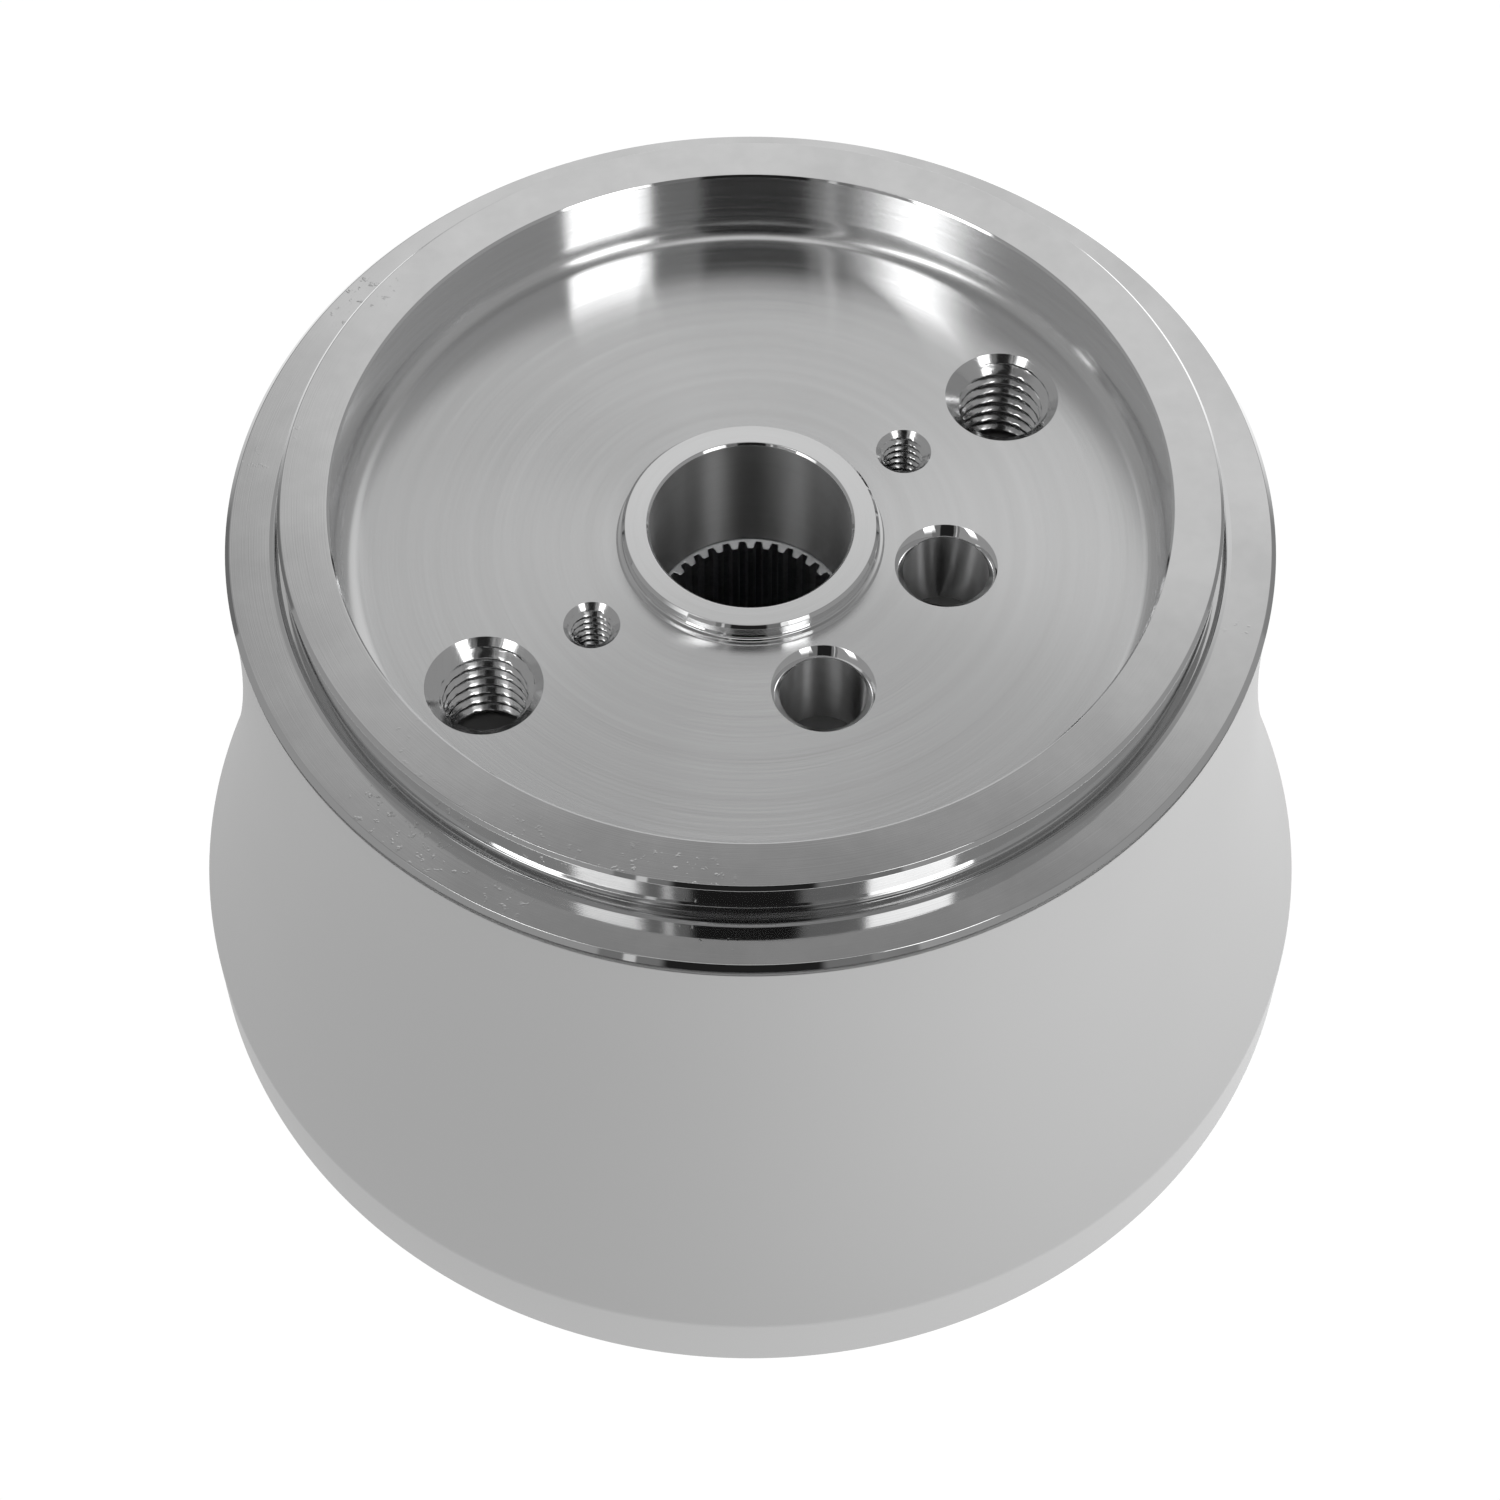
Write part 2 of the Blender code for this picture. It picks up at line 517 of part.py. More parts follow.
def build_bearings(steel, brass, hub):
    inner = race_mesh("inner_race", SHANK_RADIUS + FIT, INNER_SHOULDER, 180.0)
    outer = race_mesh("outer_race", BEARING_OUTER - FIT, OUTER_SHOULDER, 0.0)
    cage = cage_mesh(brass)
    ball = ball_mesh()
    for prefix, low in (("front", FRONT_BEARING_Z), ("rear", REAR_BEARING_Z)):
        centre = low + BEARING_WIDTH / 2.0
        place(prefix + "_bearing_outer_race", outer, steel, None, centre)
        place(prefix + "_bearing_inner_race", inner, steel, hub, centre)
        turning = axis_empty(prefix + "_cage_axis")
        place(prefix + "_bearing_cage", cage, brass, turning, centre)
        for k in range(BALL_COUNT):
            spot = polar(PITCH_RADIUS, math.tau * k / BALL_COUNT)
            place(f"{prefix}_ball_{k + 1}", ball, steel, turning, centre, spot)


def slotted_ring(name, finish, parent, sizes, slots, slot_width, slot_depth):
    """A ring with open slots round its outside, as a locknut or a tab washer has."""
    inner, outer, low, height = sizes
    nut = place(name, ring(name, inner, outer, 0.0, height), finish, parent, low)
    bm = bmesh.new()
    for k in range(slots):
        before = set(bm.verts)
        half = slot_width / 2.0
        near = outer - slot_depth
        far = outer + CUT_OVERRUN
        prism(bm, [(near, -half), (far, -half), (far, half), (near, half)], -CUT_OVERRUN,
              height + CUT_OVERRUN)
        fresh = [v for v in bm.verts if v not in before]
        turn_and_shift(bm, fresh, math.tau * (k + 0.5) / slots)
    cut(nut, bm, name + "_slots")


def build_shank_stack(steel, dark, hub):
    bore = SHANK_RADIUS + FIT
    slotted_ring("bearing_locknut", dark, hub, (bore, NUT_RADIUS, NUT_Z, NUT_HEIGHT), NUT_SLOTS,
                 NUT_SLOT_WIDTH, NUT_SLOT_DEPTH)
    slotted_ring("locknut_tab_washer", steel, hub, (bore, WASHER_RADIUS, WASHER_Z, WASHER_THICKNESS),
                 WASHER_NOTCHES, WASHER_NOTCH_WIDTH, WASHER_NOTCH_DEPTH)
    place("inner_race_spacer", ring("inner_race_spacer", bore, SPACER_RADIUS, 0.0, SPACER_THICKNESS),
          steel, hub, SPACER_Z)
    keeper = split_ring("insert_keeper_ring", KEEPER_INNER, INSERT_RADIUS + KEEPER_DEPTH, 0.0,
                        KEEPER_THICKNESS)
    place("insert_keeper_ring", keeper, dark, hub, KEEPER_Z)


def build_circlip(dark):
    mesh = split_ring("bearing_circlip", CIRCLIP_INNER, BEARING_OUTER + CIRCLIP_DEPTH, 0.0,
                      CIRCLIP_THICKNESS)
    place("bearing_circlip", mesh, dark, None, CIRCLIP_Z)


def build_seal(steel, rubber):
    outer = BEARING_OUTER - FIT
    web = SEAL_WALL
    case = [(outer, SEAL_WIDTH), (outer, 0.0), (SEAL_WEB_INNER, 0.0), (SEAL_WEB_INNER, web)]
    case += [(outer - SEAL_WALL, web), (outer - SEAL_WALL, SEAL_WIDTH)]
    place("oil_seal_case", turned("oil_seal_case", case, SMALL_STEPS), steel, None, SEAL_Z)
    low = web + FIT
    edge = JOURNAL_RADIUS + FIT
    base = edge + SEAL_RUBBER
    tip = SEAL_WIDTH - FIT
    rubber_edge = outer - SEAL_WALL - SEAL_SIDE_GAP
    lip = [(rubber_edge, low), (rubber_edge, low + SEAL_RUBBER)]
    lip += [(base + SEAL_RUBBER, low + SEAL_RUBBER), (base, tip), (edge + SEAL_RUBBER / 2.0, tip)]
    lip += [(edge, tip - SEAL_RUBBER / 2.0), (base, low)]
    place("oil_seal_lip", turned("oil_seal_lip", lip[::-1], SMALL_STEPS), rubber, None, SEAL_Z)
    centre = (base + SEAL_RUBBER / 2.0 + FIT + 2.0 * SPRING_WIRE, low + SEAL_RUBBER + FIT + SPRING_WIRE)
    coil = arc(centre, SPRING_WIRE, 0.0, CORD_SPAN, CORD_STEPS)
    place("oil_seal_garter_spring", turned("oil_seal_garter_spring", coil, SMALL_STEPS), steel, None, SEAL_Z)


def build_oring(rubber):
    centre = (ORING_CIRCLE, FIT + ORING_CORD)
    cord = arc(centre, ORING_CORD, 0.0, CORD_SPAN, CORD_STEPS)
    place("mounting_face_oring", turned("mounting_face_oring", cord, RING_STEPS), rubber)


def build_retainer(steel, dark):
    plate = place("rear_bearing_retainer", ring("rear_bearing_retainer", RETAINER_INNER, RETAINER_RADIUS,
                                                0.0, RETAINER_THICKNESS), steel, None, RETAINER_Z)
    bm = bmesh.new()
    for x, y in screw_places():
        outline = circle(SCREW_RADIUS + FIT, HOLE_STEPS // 2, x, y)
        prism(bm, outline, -CUT_OVERRUN, RETAINER_THICKNESS + CUT_OVERRUN)
    cut(plate, bm, "retainer_holes")
    screw = screw_mesh(dark)
    for k, spot in enumerate(screw_places()):
        place(f"retainer_screw_{k + 1}", screw, dark, None, RETAINER_Z, spot)


def screw_mesh(finish):
    """A socket screw pointing up, with its head's seat at the height of the plate's lower face."""
    low = -FIT - SCREW_HEAD_HEIGHT
    crown = SCREW_HEAD_RADIUS - SCREW_HEAD_HEIGHT / 4.0
    profile = [(0.0, SCREW_LENGTH), (SCREW_RADIUS, SCREW_LENGTH), (SCREW_RADIUS, -FIT)]
    profile += [(SCREW_HEAD_RADIUS, -FIT), (SCREW_HEAD_RADIUS, low + SCREW_HEAD_HEIGHT / 2.0)]
    profile += [(crown, low), (0.0, low)]
    screw = place("screw", turned("screw", profile, HOLE_STEPS // 2, closed=False), finish)
    bm = bmesh.new()
    prism(bm, circle(SCREW_SOCKET, 6), low - CUT_OVERRUN, low + SCREW_SOCKET_DEPTH)
    cut(screw, bm, "screw_socket")
    return baked(screw, "retainer_screw")


def build():
    for thing in list(bpy.data.objects):
        bpy.data.objects.remove(thing)
    polished = material("polished_aluminium", (0.80, 0.80, 0.81), 0.15, 1.0)
    blasted = material("blasted_aluminium", (0.66, 0.66, 0.67), 0.55, 1.0)
    steel = material("bearing_steel", (0.62, 0.63, 0.65), 0.22, 1.0)
    spline_steel = material("spline_steel", (0.55, 0.56, 0.58), 0.30, 1.0)
    dark = material("black_oxide_steel", (0.07, 0.07, 0.08), 0.45, 1.0)
    brass = material("cage_brass", (0.70, 0.52, 0.22), 0.35, 1.0)
    rubber = material("seal_rubber", (0.03, 0.03, 0.03), 0.60, 0.0)
    hub = axis_empty("hub_axis")
    build_housing(blasted)
    build_hub(polished, hub)
    build_insert(spline_steel, hub)
    build_bearings(steel, brass, hub)
    build_shank_stack(steel, dark, hub)
    build_circlip(dark)
    build_seal(steel, rubber)
    build_oring(rubber)
    build_retainer(steel, dark)


build()
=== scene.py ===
"""Looks for the supercharger nose drive: fine turned pieces, threads, splines, metal finishes, studio."""
import json
import math

import bmesh
import bpy
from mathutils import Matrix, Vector
from mathutils.geometry import delaunay_2d_cdt


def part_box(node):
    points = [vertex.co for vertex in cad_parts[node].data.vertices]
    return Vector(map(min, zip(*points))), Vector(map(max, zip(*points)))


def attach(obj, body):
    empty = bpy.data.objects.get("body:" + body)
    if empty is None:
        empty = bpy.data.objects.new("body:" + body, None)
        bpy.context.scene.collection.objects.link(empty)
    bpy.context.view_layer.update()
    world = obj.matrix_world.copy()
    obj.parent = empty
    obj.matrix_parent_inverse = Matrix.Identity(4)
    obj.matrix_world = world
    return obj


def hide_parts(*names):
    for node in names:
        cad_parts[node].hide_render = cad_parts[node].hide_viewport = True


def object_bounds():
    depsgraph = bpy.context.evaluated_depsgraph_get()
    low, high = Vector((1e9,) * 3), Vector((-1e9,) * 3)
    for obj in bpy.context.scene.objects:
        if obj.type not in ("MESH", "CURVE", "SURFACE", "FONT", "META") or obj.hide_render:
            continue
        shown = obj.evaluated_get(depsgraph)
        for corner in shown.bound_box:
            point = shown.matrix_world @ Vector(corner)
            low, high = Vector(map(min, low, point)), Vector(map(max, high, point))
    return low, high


MM = 0.001
SIDES = 288              # straight sides of the large turned surfaces
HOLE_SIDES = 72          # straight sides of the holes in the recess floor
CORNER_STEPS = 3         # straight pieces of a rounded corner
GUARD = 0.03             # longest step from a rounded corner to the point that keeps its flat side flat
MERGE = 5e-7             # vertices closer than this become one, in metres

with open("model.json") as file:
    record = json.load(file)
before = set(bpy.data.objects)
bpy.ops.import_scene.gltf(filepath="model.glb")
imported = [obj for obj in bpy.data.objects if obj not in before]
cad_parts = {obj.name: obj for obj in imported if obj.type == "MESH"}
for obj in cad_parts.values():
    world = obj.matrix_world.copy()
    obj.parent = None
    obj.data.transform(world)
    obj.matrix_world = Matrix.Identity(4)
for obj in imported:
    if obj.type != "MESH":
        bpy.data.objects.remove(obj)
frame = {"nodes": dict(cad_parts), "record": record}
cad_low, cad_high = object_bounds()
nodes = frame["nodes"]


def top_of(node):
    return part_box(node)[1].z / MM


def foot_of(node):
    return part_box(node)[0].z / MM


def radius_of(node):
    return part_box(node)[1].x / MM


# ---------------------------------------------------------------- shapes, in millimetres


def corner_arc(before, corner, after, radius):
    """Points that round a profile's corner, with one more on each flat side. Each point is (r, z)."""
    b, c, a = Vector(before), Vector(corner), Vector(after)
    to_b, to_a = (b - c), (a - c)
    angle = to_b.angle(to_a)
    reach = radius / math.tan(angle / 2.0)
    reach = min(reach, to_b.length * 0.48, to_a.length * 0.48)
    start, end = c + to_b.normalized() * reach, c + to_a.normalized() * reach
    guard = min(GUARD, to_b.length * 0.02), min(GUARD, to_a.length * 0.02)
    rounded = [start + to_b.normalized() * guard[0]]
    for i in range(CORNER_STEPS + 1):
        t = i / CORNER_STEPS
        rounded.append(start * (1.0 - t) ** 2 + c * (2.0 * t * (1.0 - t)) + end * t ** 2)
    rounded.append(end + to_a.normalized() * guard[1])
    return [(point.x, point.y) for point in rounded]


def rounded_profile(points):
    """Turns (r, z, radius) corners into a smooth list of (r, z). The two ends stay sharp."""
    line = []
    for i, (r, z, radius) in enumerate(points):
        if radius <= 0.0 or i in (0, len(points) - 1):
            line.append((r, z))
        else:
            line += corner_arc(points[i - 1][:2], (r, z), points[i + 1][:2], radius)
    return line


def arc(centre, radius, start, end, steps):
    """Points on an arc between two angles in degrees."""
    angles = [math.radians(start + (end - start) * i / steps) for i in range(steps + 1)]
    return [(centre[0] + radius * math.cos(a), centre[1] + radius * math.sin(a)) for a in angles]


class Shape:
    """Collects vertices and faces, in millimetres, with a material index for each face."""

    def __init__(self):
        self.points = []
        self.faces = []
        self.finishes = []

    def add(self, points, faces, finish=0):
        start = len(self.points)
        self.points += points
        self.faces += [tuple(start + i for i in face) for face in faces]
        self.finishes += [finish] * len(faces)

    def lathe(self, profile, finish=0, sides=SIDES, closed=False, centre=(0.0, 0.0)):
        """Turns (r, z) points about Z. finish is one index, or a function of the pair of points."""
        count = len(profile)
        points, faces = [], []
        for k in range(sides):
            a = math.tau * k / sides
            c, s = math.cos(a), math.sin(a)
            points += [(centre[0] + r * c, centre[1] + r * s, z) for r, z in profile]
        spans = count if closed else count - 1
        start = len(self.points)
        self.points += points
        for i in range(spans):
            j = (i + 1) % count
            mark = finish(profile[i], profile[j]) if callable(finish) else finish
            flat_low, flat_high = profile[i][0] < 1e-6, profile[j][0] < 1e-6
            for k in range(sides):
                n = (k + 1) % sides
                quad = [k * count + i, n * count + i, n * count + j, k * count + j]
                if flat_low:
                    quad = [quad[0], quad[2], quad[3]]
                elif flat_high:
                    quad = [quad[0], quad[1], quad[2]]
                self.faces.append(tuple(start + v for v in quad))
                self.finishes.append(mark)

    def flat(self, outer, inner, z, finish):
        """A flat face at height z between an outer rim and inner ones, each (x, y, radius, sides)."""
        coords, edges = [], []
        for loop in [circle(*rim) for rim in [outer] + inner]:
            first = len(coords)
            coords += [Vector(p) for p in loop]
            edges += [(first + i, first + (i + 1) % len(loop)) for i in range(len(loop))]
        verts, _, faces, *_ = delaunay_2d_cdt(coords, edges, [], 0, 1e-5)
        kept = []
        for face in faces:
            x = sum(verts[i].x for i in face) / len(face)
            y = sum(verts[i].y for i in face) / len(face)
            within = math.hypot(x - outer[0], y - outer[1]) < outer[2]
            if within and all(outside(x, y, rim) for rim in inner):
                kept.append(tuple(face))
        self.add([(v.x, v.y, z) for v in verts], kept, finish)

    def object(self, name, materials, smooth=32.0):
        mesh = bpy.data.meshes.new(name)
        mesh.from_pydata([(x * MM, y * MM, z * MM) for x, y, z in self.points], [], self.faces)
        for finish in materials:
            mesh.materials.append(finish)
        mesh.polygons.foreach_set("material_index", self.finishes)
        bm = bmesh.new()
        bm.from_mesh(mesh)
        bmesh.ops.remove_doubles(bm, verts=bm.verts, dist=MERGE)
        bmesh.ops.recalc_face_normals(bm, faces=bm.faces)
        bm.to_mesh(mesh)
        bm.free()
        mesh.shade_smooth()
        mesh.set_sharp_from_angle(angle=math.radians(smooth))
        made = bpy.data.objects.new(name, mesh)
        bpy.context.scene.collection.objects.link(made)
        return made


def circle(x, y, radius, sides):
    return [(x + radius * math.cos(math.tau * i / sides), y + radius * math.sin(math.tau * i / sides))
            for i in range(sides)]


def outside(x, y, rim):
    """Whether a point is outside the straight-sided rim (x, y, radius, sides)."""
    centre_x, centre_y, radius, sides = rim
    return math.hypot(x - centre_x, y - centre_y) > radius * 0.99999 * math.cos(math.pi / sides)


def polar(radius, degrees):
    a = math.radians(degrees)
    return radius * math.cos(a), radius * math.sin(a)


def stand_for(piece, body, slot, *cad_nodes):
    """Lets a piece ride on a body and stand in for the CAD nodes named."""
    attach(piece, body)
    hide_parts(*cad_nodes)
    return piece


# ---------------------------------------------------------------- node material helpers


class Nodes:
    """Short names for building a node tree."""

    def __init__(self, tree):
        self.tree = tree

    def new(self, kind, **settings):
        node = self.tree.nodes.new(kind)
        for key, value in settings.items():
            setattr(node, key, value)
        return node

    def put(self, socket, value):
        if isinstance(value, bpy.types.NodeSocket):
            self.tree.links.new(value, socket)
        else:
            socket.default_value = value

    def math(self, operation, a, b=0.0):
        node = self.new("ShaderNodeMath", operation=operation)
        self.put(node.inputs[0], a)
        self.put(node.inputs[1], b)
        return node.outputs[0]

    def vector_math(self, operation, a, b=(0.0, 0.0, 0.0), scale=None):
        node = self.new("ShaderNodeVectorMath", operation=operation)
        self.put(node.inputs[0], a)
        if scale is None:
            self.put(node.inputs[1], b)
        else:
            self.put(node.inputs["Scale"], scale)
        return node.outputs["Value" if operation == "LENGTH" else "Vector"]

    def combine(self, x, y, z):
        node = self.new("ShaderNodeCombineXYZ")
        for socket, value in zip(node.inputs, (x, y, z)):
            self.put(socket, value)
        return node.outputs[0]

    def separate(self, vector):
        node = self.new("ShaderNodeSeparateXYZ")
        self.put(node.inputs[0], vector)
        return node.outputs

    def noise(self, vector, scale, detail=2.0, roughness=0.5):
        node = self.new("ShaderNodeTexNoise")
        self.put(node.inputs["Vector"], vector)
        node.inputs["Scale"].default_value = scale
        node.inputs["Detail"].default_value = detail
        node.inputs["Roughness"].default_value = roughness
        return node.outputs["Fac"]

    def remap(self, value, low, high, to_low, to_high, smooth=False):
        """Takes low..high to to_low..to_high and stops at both ends."""
        node = self.new("ShaderNodeMapRange", clamp=True)
        node.interpolation_type = "SMOOTHSTEP" if smooth else "LINEAR"
        for socket, item in zip(node.inputs, (value, low, high, to_low, to_high)):
            self.put(socket, item)
        return node.outputs["Result"]

    def window(self, value, low, high, soft):
        """1 between low and high, with soft sides."""
        rise = self.remap(value, low - soft, low + soft, 0.0, 1.0, smooth=True)
        fall = self.remap(value, high - soft, high + soft, 1.0, 0.0, smooth=True)
        return self.math("MULTIPLY", rise, fall)

    def mix_colour(self, share, a, b):
        node = self.new("ShaderNodeMix", data_type="RGBA")
        self.put(node.inputs[0], share)
        self.put(node.inputs[6], a)
        self.put(node.inputs[7], b)
        return node.outputs[2]

    def bump(self, height, strength, distance, normal=None):
        node = self.new("ShaderNodeBump")
        self.put(node.inputs["Height"], height)
        node.inputs["Strength"].default_value = strength
        node.inputs["Distance"].default_value = distance
        if normal is not None:
            self.put(node.inputs["Normal"], normal)
        return node.outputs[0]


def new_material(name, **values):
    made = bpy.data.materials.new(name)
    made.use_nodes = True
    shader = made.node_tree.nodes["Principled BSDF"]
    for key, value in values.items():
        shader.inputs[key.replace("_", " ")].default_value = value
    return made, Nodes(made.node_tree), shader


def grey(value, tint=0.0):
    """A neutral colour; a positive tint is slightly cool."""
    return (value * (1.0 - tint), value, value * (1.0 + tint), 1.0)


def round_z(n, turns, fine):
    """A coordinate that runs along the marks of turning about Z: long in the angle, fine across."""
    place = n.new("ShaderNodeTexCoord").outputs["Object"]
    x, y, z = n.separate(place)
    flat = n.combine(x, y, 0.0)
    out = n.vector_math("LENGTH", flat)
    heading = n.vector_math("SCALE", n.vector_math("NORMALIZE", flat), scale=turns)
    across = n.combine(0.0, 0.0, n.math("MULTIPLY", n.math("ADD", out, z), fine))
    return n.vector_math("ADD", heading, across), place


def turned_metal(name, shade, rough, spread, aniso, turns, fine, mark_depth, cloud=0.03):
    """Metal turned on a lathe. turns and fine set how short and how close its marks are, spread how much
    the roughness varies between them, and cloud how much the shade does."""
    made, n, shader = new_material(name, Metallic=1.0, Anisotropic=aniso, Anisotropic_Rotation=0.25)
    along, place = round_z(n, turns, fine)
    marks = n.noise(along, 1.0, 3.0, 0.6)
    rings = n.noise(n.vector_math("SCALE", along, scale=0.12), 1.0, 2.0, 0.6)
    broad = n.noise(place, 45.0, 2.0)
    tone = n.math("ADD", n.math("MULTIPLY", n.math("ADD", marks, rings), 0.4), n.math("MULTIPLY", broad, 0.2))
    n.put(shader.inputs["Base Color"],
          n.mix_colour(n.remap(tone, 0.3, 0.7, 0.0, 1.0), grey(shade - cloud), grey(shade + cloud, 0.004)))
    n.put(shader.inputs["Roughness"], n.remap(marks, 0.3, 0.7, rough - spread, rough + spread))
    if aniso > 0.0:
        tangent = n.new("ShaderNodeTangent", direction_type="RADIAL", axis="Z")
        n.put(shader.inputs["Tangent"], tangent.outputs[0])
    n.put(shader.inputs["Normal"], n.bump(marks, mark_depth, 0.00002))
    return made


def marked_metal(name, shade, rough):
    """Polished metal with faint clouding and a few small nicks."""
    made, n, shader = new_material(name, Metallic=1.0)
    along, place = round_z(n, 3.0, 7000.0)
    marks = n.noise(along, 1.0, 3.0, 0.6)
    cloud = n.noise(place, 60.0, 4.0, 0.65)
    spots = n.remap(n.noise(place, 900.0, 2.0, 0.7), 0.62, 0.72, 0.0, 1.0)
    where = n.remap(n.noise(place, 42.0, 1.0), 0.62, 0.72, 0.0, 1.0)
    nicks = n.math("MULTIPLY", spots, where)
    n.put(shader.inputs["Base Color"],
          n.mix_colour(n.remap(cloud, 0.35, 0.65, 0.0, 1.0), grey(shade - 0.05), grey(shade + 0.05)))
    smear = n.remap(cloud, 0.4, 0.7, rough, rough + 0.05)
    n.put(shader.inputs["Roughness"], n.math("ADD", smear, n.math("MULTIPLY", nicks, 0.3)))
    fine = n.bump(marks, 0.10, 0.00002)
    n.put(shader.inputs["Normal"], n.bump(nicks, 0.25, 0.00006, fine))
    return made


def blasted_metal(name, shade, rough):
    """Aluminium with a fine blasted surface."""
    made, n, shader = new_material(name, Metallic=1.0)
    place = n.new("ShaderNodeTexCoord").outputs["Object"]
    grain = n.noise(place, 2600.0, 2.0, 0.7)
    cloud = n.noise(place, 28.0, 3.0, 0.55)
    n.put(shader.inputs["Base Color"],
          n.mix_colour(n.remap(cloud, 0.3, 0.7, 0.0, 1.0), grey(shade - 0.012), grey(shade + 0.012)))
    n.put(shader.inputs["Roughness"], n.remap(cloud, 0.3, 0.7, rough - 0.02, rough + 0.02))
    n.put(shader.inputs["Normal"], n.bump(grain, 0.25, 0.00004))
    return made


def plain_metal(name, shade, rough, tint=0.0, grain_scale=700.0, depth=0.15):
    """Machined or pressed metal with an even grain."""
    made, n, shader = new_material(name, Metallic=1.0)
    place = n.new("ShaderNodeTexCoord").outputs["Object"]
    grain = n.noise(place, grain_scale, 3.0, 0.6)
    share = n.remap(grain, 0.3, 0.7, 0.0, 1.0)
    n.put(shader.inputs["Base Color"],
          n.mix_colour(share, grey(shade * 0.94, tint), grey(shade * 1.06, tint)))
    n.put(shader.inputs["Roughness"], n.remap(grain, 0.3, 0.7, rough * 0.85, rough * 1.15))
    n.put(shader.inputs["Normal"], n.bump(grain, depth, 0.00003))
    return made


def coloured(name, colour, rough, metallic, grain_scale, depth):
    """A coloured finish with an even grain: oxide, brass or rubber."""
    made, n, shader = new_material(name, Metallic=metallic)
    place = n.new("ShaderNodeTexCoord").outputs["Object"]
    grain = n.noise(place, grain_scale, 3.0, 0.6)
    dark = tuple(c * 0.85 for c in colour) + (1.0,)
    light = tuple(min(c * 1.12, 1.0) for c in colour) + (1.0,)
    n.put(shader.inputs["Base Color"], n.mix_colour(n.remap(grain, 0.3, 0.7, 0.0, 1.0), dark, light))
    n.put(shader.inputs["Roughness"], n.remap(grain, 0.3, 0.7, rough - 0.05, rough + 0.05))
    n.put(shader.inputs["Normal"], n.bump(grain, depth, 0.00003))
    return made


MIRROR = turned_metal("mirror_turned", 0.84, 0.035, 0.012, 0.0, 3.0, 9000.0, 0.05)
SEAT = marked_metal("pulley_seat", 0.80, 0.035)
FLOOR = turned_metal("brushed_floor", 0.85, 0.19, 0.03, 1.0, 1.6, 4200.0, 0.2, 0.06)
BORE = turned_metal("honed_bore", 0.64, 0.42, 0.03, 1.0, 2.0, 6000.0, 0.1)
THREAD = turned_metal("cut_thread", 0.78, 0.12, 0.04, 0.0, 2.0, 4000.0, 0.15)
GROOVE = turned_metal("undercut", 0.70, 0.09, 0.03, 0.0, 3.0, 9000.0, 0.2)
HIDDEN = plain_metal("machined_inside", 0.70, 0.35)
# A very dark grey for the holes' ends: painted shade standing in for the dark bottoms of the deep holes.
HOLE_END_SHADE = plain_metal("hole_end_painted_shade", 0.24, 0.50)
BODY = blasted_metal("blasted_body", 0.425, 0.50)
BODY_CUT = turned_metal("body_cut_face", 0.72, 0.30, 0.05, 0.5, 2.0, 3000.0, 0.3)
STEEL = plain_metal("ground_steel", 0.60, 0.20, 0.01)
SPLINE_STEEL = plain_metal("spline_steel", 0.80, 0.34, 0.01, 1500.0, 0.1)
PLATE = plain_metal("pressed_steel", 0.50, 0.32, 0.01, 300.0, 0.2)
BLACK = coloured("black_oxide", (0.055, 0.055, 0.06), 0.42, 1.0, 900.0, 0.2)
BRASS = coloured("cage_brass", (0.70, 0.50, 0.20), 0.32, 1.0, 700.0, 0.15)
RUBBER = coloured("black_rubber", (0.022, 0.022, 0.022), 0.62, 0.0, 1800.0, 0.3)

# ---------------------------------------------------------------- drive hub

FIT = 0.3                # gap between pieces that touch
GROOVE_ROOM = 0.15       # room above and below a ring in its groove

HUB_TOP = top_of("drive_hub")
HUB_FOOT = foot_of("drive_hub")
PILOT_R = 60.2
PILOT_EDGE_IN = 0.45     # bevel between the end face and the pilot's wall
PILOT_EDGE_DROP = 0.5
RIM_R = 53.85            # inner edge of the end face
WALL_R = 53.55           # recess wall
RIM_EDGE_DROP = 0.3
FILLET = 2.6             # recess wall to its floor
FLOOR_R = WALL_R - FILLET - 0.3
FLANGE_R = radius_of("drive_hub")
FLANGE_Z = HUB_TOP - 6.15
FLANGE_EDGE_IN = 0.62
FLANGE_EDGE_DROP = 0.65
FLANGE_UNDER_DROP = 1.2  # flange face to its underside
UNDERCUT_DEPTH = 0.9     # into the pilot's wall
UNDERCUT_SINK = 0.4      # below the flange face
RECESS_Z = HUB_TOP - 10.6
BOSS_Z = HUB_TOP - 7.84
BOSS_R = 16.65
BOSS_EDGE = 0.4
BOSS_FOOT_R = 17.35      # outer edge of the step round the boss
BORE_R = 13.15
BORE_EDGE = 0.32
SPLINE_TOP = top_of("spline_insert")
DISC_R = 62.0            # hub disc inside the housing
DISC_Z = HUB_TOP - 27.35
JOURNAL_R = 24.0         # the oil seal runs on it
SHANK_R = 20.0           # bearing seats
SHANK_BORE_R = 16.5
KEEPER_GROOVE_R = 17.7
SHOULDER_Z = top_of("front_bearing_inner_race") + FIT

